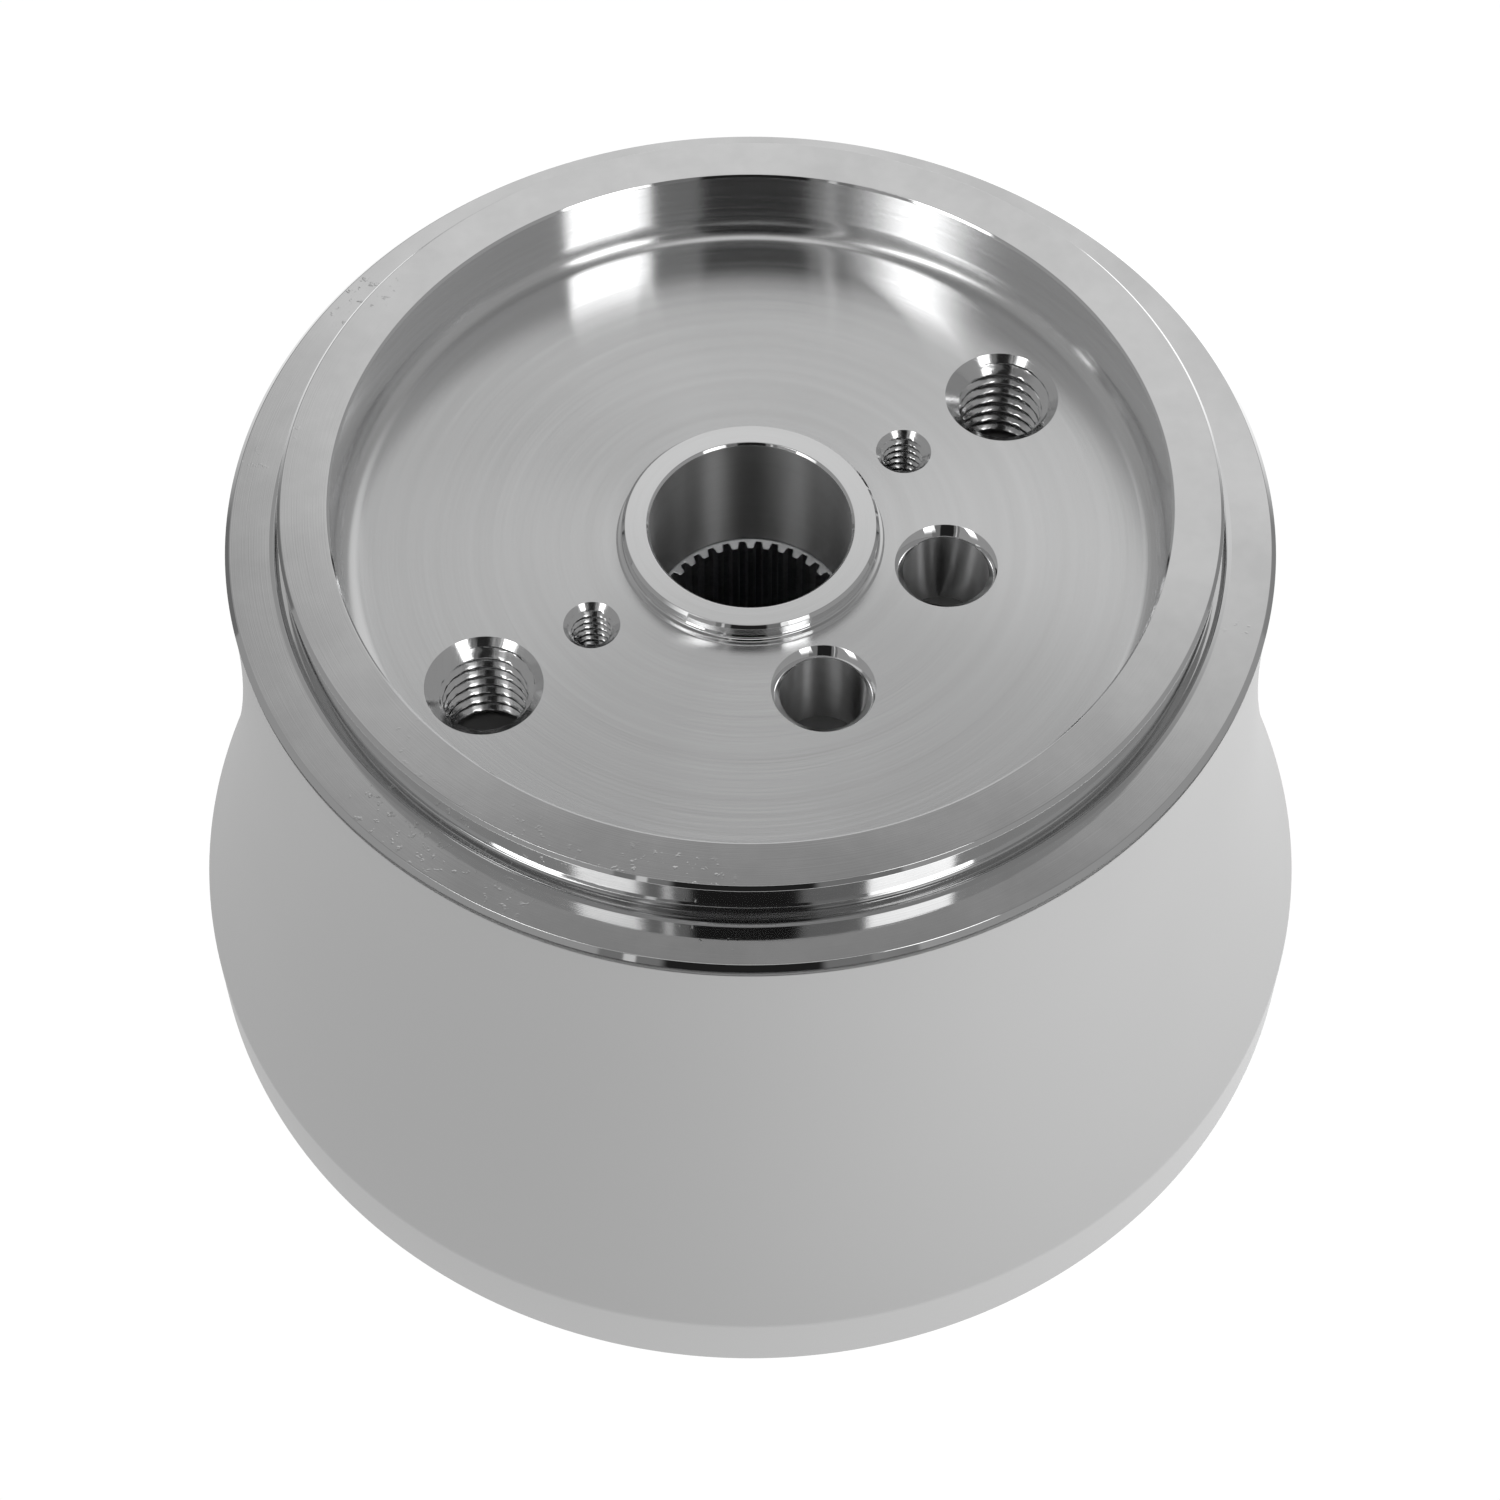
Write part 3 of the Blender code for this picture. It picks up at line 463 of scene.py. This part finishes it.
# distance from the axis, direction, hole or thread minor radius, mouth radius, thread pitch or 0
HOLES = (
    (41.0, 35.0, 5.4, 7.55, 1.954),
    (41.0, 215.0, 5.4, 7.55, 1.954),
    (24.7, 35.0, 2.6, 3.65, 1.27),
    (24.7, 215.0, 2.6, 3.65, 1.27),
    (25.7, -10.5, 5.55, 6.65, 0.0),
    (25.7, -69.0, 5.55, 6.65, 0.0),
)
HOLE_END = DISC_Z + 2.5
DRILL_POINT = 1.2        # depth of the cone at a plain hole's end
THREAD_ROWS = 18         # rows of faces in one turn of a thread
THREAD_DEPTH = 0.60      # of the pitch
CREST = 0.16             # half of a thread's flat crest, of half a pitch
FLANK = 0.70             # a thread's slope down to its root, of half a pitch
MIRROR_I, FLOOR_I, BORE_I, THREAD_I, HIDDEN_I, SEAT_I, GROOVE_I, HOLE_END_SHADE_I = range(8)


def threaded_wall(shape, x, y, minor, mouth, pitch):
    """The wall of a threaded hole, from its countersunk mouth down to the shallow cone at its end."""
    depth = THREAD_DEPTH * pitch
    major = minor + depth
    sink = mouth - minor
    rows = int((RECESS_Z - HOLE_END) / pitch * THREAD_ROWS)
    sides = HOLE_SIDES

    def radius(angle, z):
        phase = (z / pitch - angle / math.tau) % 1.0
        ramp = abs(phase - 0.5) * 2.0
        cut = min(max((ramp - CREST) / FLANK, 0.0), 1.0)
        thread = minor + depth * cut
        cone = mouth - (RECESS_Z - z) * (sink + depth) / (sink + depth * 0.4)
        return max(thread, cone)

    points = []
    for i in range(rows + 1):
        z = RECESS_Z - (RECESS_Z - HOLE_END) * i / rows
        for k in range(sides):
            a = math.tau * k / sides
            r = mouth if i == 0 else min(radius(a, z), mouth)
            points.append((x + r * math.cos(a), y + r * math.sin(a), z))
    faces = []
    for i in range(rows):
        for k in range(sides):
            n = (k + 1) % sides
            faces.append((i * sides + k, i * sides + n, (i + 1) * sides + n, (i + 1) * sides + k))
    shape.add(points, faces, THREAD_I)
    last = [points[rows * sides + k] for k in range(sides)]
    # The end cone is coloured very dark: painted shade at the hole's bottom.
    shape.add(last + [(x, y, HOLE_END - major * 0.25)],
              [(k, (k + 1) % sides, sides) for k in range(sides)], HOLE_END_SHADE_I)


def plain_wall(shape, x, y, bore, mouth):
    """The wall of a plain hole with a countersunk mouth."""
    sink = mouth - bore
    line = [(mouth, RECESS_Z), (mouth - 0.03, RECESS_Z - 0.02), (bore + 0.06, RECESS_Z - sink + 0.05),
            (bore, RECESS_Z - sink - 0.08), (bore, HOLE_END), (0.0, HOLE_END - DRILL_POINT)]

    def finish(a, b):
        if min(a[1], b[1]) > RECESS_Z - sink - 0.2:
            return MIRROR_I
        # The hole's end is coloured very dark: painted shade at its bottom.
        return HOLE_END_SHADE_I if min(a[1], b[1]) < HOLE_END - 0.1 else BORE_I

    shape.lathe(line, finish, HOLE_SIDES, centre=(x, y))


def hub_outside():
    """From the recess floor's outer edge over the rim and flange, and down to the shank's end."""
    line = [(FLOOR_R, RECESS_Z), (WALL_R - FILLET - 0.05, RECESS_Z)]
    line += arc((WALL_R - FILLET, RECESS_Z + FILLET), FILLET, -90.0, 0.0, 12)
    line += [(WALL_R, RECESS_Z + FILLET + 0.05)]
    under = FLANGE_Z - FLANGE_UNDER_DROP
    undercut_r, undercut_z = PILOT_R - UNDERCUT_DEPTH, FLANGE_Z - UNDERCUT_SINK
    rim = [(WALL_R, RECESS_Z + 3.0, 0.0), (WALL_R, HUB_TOP - RIM_EDGE_DROP, 0.08), (RIM_R, HUB_TOP, 0.08),
           (PILOT_R - PILOT_EDGE_IN, HUB_TOP, 0.1), (PILOT_R, HUB_TOP - PILOT_EDGE_DROP, 0.1)]
    undercut = [(PILOT_R, HUB_TOP - 4.3, 0.12), (undercut_r, HUB_TOP - 4.8, 0.2),
                (undercut_r, undercut_z, 0.35), (PILOT_R + 0.55, undercut_z, 0.25)]
    raised_edge = [(PILOT_R + 0.85, FLANGE_Z + 0.02, 0.1), (PILOT_R + 1.05, FLANGE_Z + 0.08, 0.1),
                   (PILOT_R + 1.55, FLANGE_Z, 0.2)]
    flange = [(FLANGE_R - FLANGE_EDGE_IN, FLANGE_Z, 0.15), (FLANGE_R, FLANGE_Z - FLANGE_EDGE_DROP, 0.0),
              (FLANGE_R - 0.7, under, 0.0), (DISC_R, under, 0.0)]
    shank = [(DISC_R, DISC_Z, 0.5), (JOURNAL_R, DISC_Z, 0.0), (JOURNAL_R, SHOULDER_Z, 0.3),
             (SHANK_R, SHOULDER_Z, 0.0), (SHANK_R, HUB_FOOT, 0.5), (SHANK_BORE_R, HUB_FOOT, 0.5)]
    return line + rounded_profile(rim + undercut + raised_edge + flange + shank)


def hub_inside():
    """From the shank's end up through the bore and over the boss to the recess floor's inner edge."""
    ring_low = foot_of("insert_keeper_ring") - GROOVE_ROOM
    ring_high = top_of("insert_keeper_ring") + GROOVE_ROOM
    seat = SPLINE_TOP + FIT
    groove = [(SHANK_BORE_R, HUB_FOOT, 0.0), (SHANK_BORE_R, ring_low, 0.1), (KEEPER_GROOVE_R, ring_low, 0.0),
              (KEEPER_GROOVE_R, ring_high, 0.0), (SHANK_BORE_R, ring_high, 0.1)]
    bore = [(SHANK_BORE_R, seat, 0.0), (BORE_R, seat, 0.1),
            (BORE_R, BOSS_Z - BORE_EDGE, 0.14), (BORE_R + BORE_EDGE, BOSS_Z, 0.14)]
    boss = [(BOSS_R - BOSS_EDGE, BOSS_Z, 0.1), (BOSS_R, BOSS_Z - BOSS_EDGE, 0.1),
            (BOSS_R, RECESS_Z + 0.55, 0.25), (BOSS_FOOT_R - 0.1, RECESS_Z + 0.5, 0.12),
            (BOSS_FOOT_R, RECESS_Z, 0.12), (BOSS_FOOT_R + 0.5, RECESS_Z, 0.0)]
    return rounded_profile(groove + bore + boss)


def hub_finish(a, b):
    """The finish of the turned band between two profile points."""
    r, z = (a[0] + b[0]) / 2.0, (a[1] + b[1]) / 2.0
    if r < BORE_R + 0.1 and z > SPLINE_TOP:
        return BORE_I
    if z < FLANGE_Z - 1.1:
        if r > WALL_R or z < DISC_Z + 1.0:
            return HIDDEN_I
    if z < RECESS_Z + 0.01 and r < WALL_R - FILLET:
        return FLOOR_I
    if abs(a[1] - b[1]) < 1e-6 and r > RIM_R:
        return SEAT_I
    if PILOT_R - 1.0 < r < PILOT_R + 0.75 and FLANGE_Z - 0.5 < z < HUB_TOP - 4.1:
        return GROOVE_I
    if WALL_R - FILLET < r < WALL_R + 0.01 and z < RECESS_Z + FILLET:
        return FLOOR_I
    return MIRROR_I


def build_hub():
    shape = Shape()
    shape.lathe(hub_outside(), hub_finish)
    shape.lathe(hub_inside(), hub_finish)
    mouths = [(*polar(distance, angle), mouth, HOLE_SIDES) for distance, angle, _, mouth, _ in HOLES]
    outer = (0.0, 0.0, FLOOR_R, SIDES)
    boss_foot = (0.0, 0.0, BOSS_FOOT_R + 0.5, SIDES)
    shape.flat(outer, [boss_foot] + mouths, RECESS_Z, FLOOR_I)
    for distance, angle, bore, mouth, pitch in HOLES:
        x, y = polar(distance, angle)
        if pitch:
            threaded_wall(shape, x, y, bore, mouth, pitch)
        else:
            plain_wall(shape, x, y, bore, mouth)
    hub = shape.object("turned_drive_hub", [MIRROR, FLOOR, BORE, THREAD, HIDDEN, SEAT, GROOVE, HOLE_END_SHADE])
    stand_for(hub, "hub", "polished_aluminium", "drive_hub")


# ---------------------------------------------------------------- spline insert


SPLINE_TEETH = 36
SPLINE_OUTER_R = SHANK_BORE_R - FIT
SPLINE_ROOT_R = 12.9
SPLINE_TIP_R = 12.0
LEAD_R = 13.35           # outer edge of the cone that bevels the teeth's ends
LEAD_SLOPE = 0.38        # fall of that cone for each step inward
LEAD_ROWS = 8


def build_splines():
    """A toothed sleeve. The tooth outline gives a radius and a share of the pitch for each point."""
    top, low = SPLINE_TOP, foot_of("spline_insert")
    tooth = ((SPLINE_TIP_R, -0.17), (SPLINE_TIP_R, 0.0), (SPLINE_TIP_R, 0.17), (12.25, 0.235), (12.6, 0.29),
             (SPLINE_ROOT_R, 0.345), (SPLINE_ROOT_R, 0.5), (SPLINE_ROOT_R, 0.655), (12.6, 0.71),
             (12.25, 0.765))
    pitch = math.tau / SPLINE_TEETH
    outline = [(r, pitch * (k + share)) for k in range(SPLINE_TEETH) for r, share in tooth]
    count = len(outline)
    lead = (LEAD_R - SPLINE_TIP_R) * LEAD_SLOPE
    levels = [(low, False), (low + 0.5, False)]
    levels += [(top - lead * (1.0 - i / LEAD_ROWS), True) for i in range(LEAD_ROWS + 1)]
    points, faces = [], []
    for z, sloped in levels:
        cone = LEAD_R - (top - z) / LEAD_SLOPE if sloped else 0.0
        points += [(max(r, cone) * math.cos(a), max(r, cone) * math.sin(a), z) for r, a in outline]
    for i in range(len(levels) - 1):
        for k in range(count):
            n = (k + 1) % count
            faces.append((i * count + k, i * count + n, (i + 1) * count + n, (i + 1) * count + k))
    shape = Shape()
    shape.add(points, faces)
    for z, rim in ((top, points[-count:]), (low, points[:count])):
        loop = [(SPLINE_OUTER_R * math.cos(a), SPLINE_OUTER_R * math.sin(a), z) for _, a in outline]
        shape.add(list(rim) + loop, [(k, (k + 1) % count, count + (k + 1) % count, count + k)
                                     for k in range(count)])
    side = [(SPLINE_OUTER_R * math.cos(a), SPLINE_OUTER_R * math.sin(a), z)
            for z in (low, top) for _, a in outline]
    shape.add(side, [(k, (k + 1) % count, count + (k + 1) % count, count + k) for k in range(count)])
    splines = shape.object("broached_splines", [SPLINE_STEEL], 40.0)
    stand_for(splines, "hub", "spline_steel", "spline_insert")


# ---------------------------------------------------------------- housing

BASE_R = radius_of("snout_housing")
HOUSING_TOP = top_of("snout_housing")
WAIST_R = 67.4
WAIST_Z = 80.0
LIP_Z = 11.0             # top of the straight lip at the foot
WEB_Z = 62.45            # web under the hub disc
WELL_R = 62.5            # space round the hub disc
RECESS_R = 62.0          # opening in the mounting face
CARRIER_R = 49.0         # tube round the bearings
BEARING_R = 40.0
CIRCLIP_GROOVE_R = 41.5
SHOULDER_R = 36.0        # between the bearings
MOUNT_CIRCLE = 72.0      # mounting and locating holes
CORD_GROOVE = (64.2, 67.0, 2.5)        # O-ring groove: inner and outer radius, depth
RIB_COUNT = 6
RIB_HALF = 3.0
RIB_HALF_TOP = 4.25      # the ribs thicken towards the pockets' ends
POCKET_TOP_R = 59.5
POCKET_TOP_Z = 52.45
SCREW_CIRCLE = 44.3
CUT_OVERRUN = 2.0        # how far a tool runs past the face it opens


def flare():
    """The housing's hollow curve, upright at the waist, as an arc from the lip up."""
    rise, run = WAIST_Z - LIP_Z, BASE_R - WAIST_R
    radius = (rise * rise + run * run) / (2.0 * run)
    foot = math.degrees(math.asin(rise / radius))
    return arc((WAIST_R + radius, WAIST_Z), radius, 180.0 + foot, 180.0, 40)


def build_housing():
    """The flared shell: outside and inside turned as one closed outline, then cut from below."""
    lip = [(MOUNT_CIRCLE, 0.0, 0.0), (BASE_R - 0.8, 0.0, 0.3), (BASE_R, 0.8, 0.3), (BASE_R, LIP_Z, 2.0)]
    well = [(WAIST_R, HOUSING_TOP, 0.2), (WELL_R, HOUSING_TOP, 0.2), (WELL_R, WEB_Z, 0.6),
            (BEARING_R, WEB_Z, 0.4)]
    outer_line = rounded_profile(lip + [(r, z, 0.0) for r, z in flare()[1:]] + well)
    clip_low = foot_of("bearing_circlip") - GROOVE_ROOM
    clip_high = top_of("bearing_circlip") + GROOVE_ROOM
    rear = foot_of("rear_bearing_outer_race")
    low_shoulder = top_of("rear_bearing_outer_race") + FIT
    high_shoulder = foot_of("front_bearing_outer_race") - FIT
    seats = [(BEARING_R, WEB_Z, 0.0), (BEARING_R, clip_high, 0.1), (CIRCLIP_GROOVE_R, clip_high, 0.0),
             (CIRCLIP_GROOVE_R, clip_low, 0.0), (BEARING_R, clip_low, 0.1), (BEARING_R, high_shoulder, 0.0),
             (SHOULDER_R, high_shoulder, 0.2), (SHOULDER_R, low_shoulder, 0.2),
             (BEARING_R, low_shoulder, 0.0), (BEARING_R, rear, 0.3)]
    cord_in, cord_out, cord_depth = CORD_GROOVE
    face = [(RECESS_R, rear, 0.3), (RECESS_R, 0.0, 0.3), (cord_in, 0.0, 0.1), (cord_in, cord_depth, 0.2),
            (cord_out, cord_depth, 0.2), (cord_out, 0.0, 0.1), (MOUNT_CIRCLE, 0.0, 0.0)]
    inner_line = rounded_profile(seats + face)
    shape = Shape()

    def finish(a, b):
        return 1 if max(a[1], b[1]) < 0.01 else 0

    shape.lathe(outer_line[:-1] + inner_line[:-1], finish, closed=True)
    shell = shape.object("blasted_housing", [BODY, BODY_CUT, HIDDEN])
    cut_housing(shell, rear)
    stand_for(shell, "housing", "blasted_aluminium", "snout_housing")


def prism(shape, low_outline, high_outline, low, high):
    """A solid between two outlines with as many points."""
    count = len(low_outline)
    points = [(x, y, low) for x, y in low_outline] + [(x, y, high) for x, y in high_outline]
    faces = [tuple(reversed(range(count))), tuple(range(count, 2 * count))]
    faces += [(k, (k + 1) % count, count + (k + 1) % count, count + k) for k in range(count)]
    shape.add(points, faces)


def pocket(outer, spread, angle):
    """The outline of one pocket between two ribs. spread is half a rib's thickness."""
    half = 180.0 / RIB_COUNT
    inner_half = half - math.degrees(math.asin(spread / CARRIER_R))
    outer_half = half - math.degrees(math.asin(spread / outer))
    inner = [polar(CARRIER_R, angle + inner_half * (i / 6.0 - 1.0)) for i in range(13)]
    outside = [polar(outer, angle + outer_half * (1.0 - i / 6.0)) for i in range(13)]
    return list(reversed(inner + outside))


def cut_housing(shell, rear):
    """Cuts the pockets between the ribs and the holes for mounting, retainer screws and locators."""
    tool = Shape()
    start = rear - CUT_OVERRUN
    mount_hole = [(0.0, -CUT_OVERRUN), (6.4, -CUT_OVERRUN), (4.4, 0.0), (3.4, 1.0), (3.4, 14.0), (0.0, 15.5)]
    screw_hole = [(0.0, start), (2.3, start), (2.3, rear + 9.0), (0.0, rear + 10.0)]
    locator_hole = [(0.0, -CUT_OVERRUN), (3.0, -CUT_OVERRUN), (3.0, 9.0), (0.0, 9.0)]
    for k in range(RIB_COUNT):
        angle = 360.0 / RIB_COUNT * k
        between = angle + 180.0 / RIB_COUNT
        prism(tool, pocket(RECESS_R, RIB_HALF, angle), pocket(POCKET_TOP_R, RIB_HALF_TOP, angle),
              start, POCKET_TOP_Z)
        tool.lathe(mount_hole, 0, 32, centre=polar(MOUNT_CIRCLE, between))
        tool.lathe(screw_hole, 0, 24, centre=polar(SCREW_CIRCLE, between))
    for angle in (0.0, 180.0):
        tool.lathe(locator_hole, 0, 32, centre=polar(MOUNT_CIRCLE, angle))
    cutter = tool.object("housing_tool", [HIDDEN])
    modifier = shell.modifiers.new("hollows", "BOOLEAN")
    modifier.operation = "DIFFERENCE"
    modifier.solver = "EXACT"
    modifier.object = cutter
    shape = shell.evaluated_get(bpy.context.evaluated_depsgraph_get())
    mesh = bpy.data.meshes.new_from_object(shape)
    shell.modifiers.clear()
    shell.data = mesh
    bpy.data.objects.remove(cutter)
    mesh.shade_smooth()
    mesh.set_sharp_from_angle(angle=math.radians(32.0))


# ---------------------------------------------------------------- CAD nodes that stay

FINISHES = {
    "bearing_steel": STEEL, "plate_steel": PLATE, "black_oxide_steel": BLACK, "cage_brass": BRASS,
    "seal_rubber": RUBBER, "spline_steel": SPLINE_STEEL, "polished_aluminium": MIRROR,
    "blasted_aluminium": BODY,
}


def finish_cad_nodes():
    slots = {s["node"]: s["material_slot"] for s in frame["record"]["subparts"]}
    for name, thing in nodes.items():
        thing.data.materials.clear()
        thing.data.materials.append(FINISHES[slots[name]])


# ---------------------------------------------------------------- studio

# Areas of the tent in degrees: azimuth from, to, elevation from, to, and how soft each pair of edges is.
# Azimuth is 0 towards the camera and grows towards +X. The panels lean: their azimuth shifts with elevation.
RIGHT_PANEL = (14.0, 37.5, 33.0, 57.5, 0.5, 9.0)
RIGHT_LEAN = 0.283
RIGHT_LIGHT = 2.3
LEFT_PANEL = (-88.0, -71.5, 33.0, 55.0, 0.5, 9.0)
LEFT_LEAN = 0.725
LEFT_LIGHT = 2.9
DIM_FRONT = (-27.0, 30.0, -20.0, 76.0, 0.5, 6.0)
DIM_SHARE = 0.55         # light that is left there
CAMERA_GAP = (-15.5, 13.0, -20.0, 76.0, 1.0, 6.0)
GAP_SHARE = 0.09
LIGHT_STRIP = (-22.5, -20.3, -20.0, 76.0, 0.3, 6.0)
STRIP_LIGHT = 0.4
TENT_LOW, TENT_HIGH = 0.30, 0.20       # the tent's own light below and above
ZENITH_LIGHT = 0.75
BACKDROP_LIGHT = 0.37
BACKDROP_TURN = 12.0     # the backdrop stands this far off the line behind the object


def build_world():
    """A white tent with two bright panels, a pale backdrop and a gap where the camera stands."""
    world = bpy.data.worlds.new("studio")
    bpy.context.scene.world = world
    world.use_nodes = True
    n = Nodes(world.node_tree)
    world.node_tree.nodes.clear()
    x, y, z = n.separate(n.new("ShaderNodeTexCoord").outputs["Generated"])
    azimuth = n.math("MULTIPLY", n.math("ARCTAN2", x, n.math("MULTIPLY", y, -1.0)), 180.0 / math.pi)
    elevation = n.math("MULTIPLY", n.math("ARCSINE", z), 180.0 / math.pi)
    behind = n.math("SUBTRACT", 180.0, n.math("ABSOLUTE", n.math("ADD", azimuth, BACKDROP_TURN)))

    def area(heading, az_low, az_high, el_low, el_high, az_soft, el_soft):
        return n.math("MULTIPLY", n.window(heading, az_low, az_high, az_soft),
                      n.window(elevation, el_low, el_high, el_soft))

    right = n.math("SUBTRACT", azimuth, n.math("MULTIPLY", elevation, RIGHT_LEAN))
    left = n.math("SUBTRACT", azimuth, n.math("MULTIPLY", elevation, LEFT_LEAN))
    zenith = n.remap(elevation, 78.0, 82.0, 0.0, 1.0, smooth=True)
    backdrop = n.math("MULTIPLY", n.remap(behind, 20.0, 30.0, 1.0, 0.0, smooth=True),
                      n.remap(elevation, 50.5, 59.0, 1.0, 0.0, smooth=True))
    light = n.remap(elevation, 54.0, 64.0, TENT_LOW, TENT_HIGH, smooth=True)
    for patch, strength in ((area(right, *RIGHT_PANEL), RIGHT_LIGHT), (area(left, *LEFT_PANEL), LEFT_LIGHT),
                            (zenith, ZENITH_LIGHT), (backdrop, BACKDROP_LIGHT)):
        light = n.math("ADD", light, n.math("MULTIPLY", patch, strength))
    light = n.math("MULTIPLY", light, n.remap(area(azimuth, *DIM_FRONT), 0.0, 1.0, 1.0, DIM_SHARE))
    light = n.math("MULTIPLY", light, n.remap(area(azimuth, *CAMERA_GAP), 0.0, 1.0, 1.0, GAP_SHARE))
    light = n.math("ADD", light, n.math("MULTIPLY", area(azimuth, *LIGHT_STRIP), STRIP_LIGHT))
    seen = n.new("ShaderNodeLightPath").outputs["Is Camera Ray"]
    strength = n.math("ADD", n.math("MULTIPLY", light, n.math("SUBTRACT", 1.0, seen)),
                      n.math("MULTIPLY", seen, 1.0))
    background = n.new("ShaderNodeBackground")
    n.put(background.inputs["Color"], (1.0, 1.0, 1.0, 1.0))
    n.put(background.inputs["Strength"], strength)
    n.put(n.new("ShaderNodeOutputWorld").inputs["Surface"], background.outputs[0])


FLOOR_REACH = 4000.0
FLOOR_GAP = 0.0002       # in metres, so that the foot and the floor aren't in one plane
FLOOR_LIGHT = 1.02       # what the camera sees of the floor


def build_floor():
    """A plain pale floor. It glows evenly to the camera, and on the object it fades with distance."""
    shape = Shape()
    r = FLOOR_REACH
    shape.add([(-r, -r, 0.0), (r, -r, 0.0), (r, r, 0.0), (-r, r, 0.0)], [(0, 1, 2, 3)])
    made = bpy.data.materials.new("pale_floor")
    made.use_nodes = True
    made.node_tree.nodes.clear()
    n = Nodes(made.node_tree)
    place = n.new("ShaderNodeTexCoord").outputs["Object"]
    out = n.vector_math("LENGTH", place)
    seen = n.new("ShaderNodeLightPath").outputs["Is Camera Ray"]
    near = n.remap(out, 0.10, 0.55, 1.25, 0.18, smooth=True)
    side = n.remap(n.separate(place)[0], -0.10, 0.16, 0.86, 1.32, smooth=True)
    under = n.remap(out, BASE_R * MM * 0.985, BASE_R * MM * 1.0, 0.0, 1.0)
    cast = n.math("MULTIPLY", n.math("MULTIPLY", near, side), under)
    plain = n.math("SUBTRACT", 1.0, seen)
    strength = n.math("ADD", n.math("MULTIPLY", cast, plain), n.math("MULTIPLY", seen, FLOOR_LIGHT))
    glow = n.new("ShaderNodeEmission")
    tone = n.remap(n.noise(place, 3.0), 0.3, 0.7, 0.985, 1.0)
    n.put(glow.inputs["Color"], n.combine(tone, tone, tone))
    n.put(glow.inputs["Strength"], strength)
    n.put(n.new("ShaderNodeOutputMaterial").inputs["Surface"], glow.outputs[0])
    floor = shape.object("studio_floor", [made])
    floor.location.z = cad_low.z - FLOOR_GAP


CAMERA_DISTANCE = 0.4332               # from the centre of the pilot's end face, in metres
CAMERA_RISE = math.radians(51.66)      # its height above that face, as an angle
CAMERA_TILT = math.radians(56.11)      # how far it looks down


def build_camera():
    """A long lens, in front of and above the pulley seat."""
    camera = bpy.data.cameras.new("camera")
    camera.lens = 81.47
    camera.sensor_width = 36.0
    camera.shift_x = -0.0003
    camera.clip_start, camera.clip_end = 0.01, 50.0
    holder = bpy.data.objects.new("camera", camera)
    bpy.context.scene.collection.objects.link(holder)
    holder.location = (0.0, -CAMERA_DISTANCE * math.cos(CAMERA_RISE),
                       cad_high.z + CAMERA_DISTANCE * math.sin(CAMERA_RISE))
    holder.rotation_euler = (math.pi / 2.0 - CAMERA_TILT, 0.0, 0.0)
    bpy.context.scene.camera = holder


bpy.context.scene.view_settings.view_transform = "Standard"
finish_cad_nodes()
build_hub()
build_splines()
build_housing()
build_world()
build_floor()
build_camera()
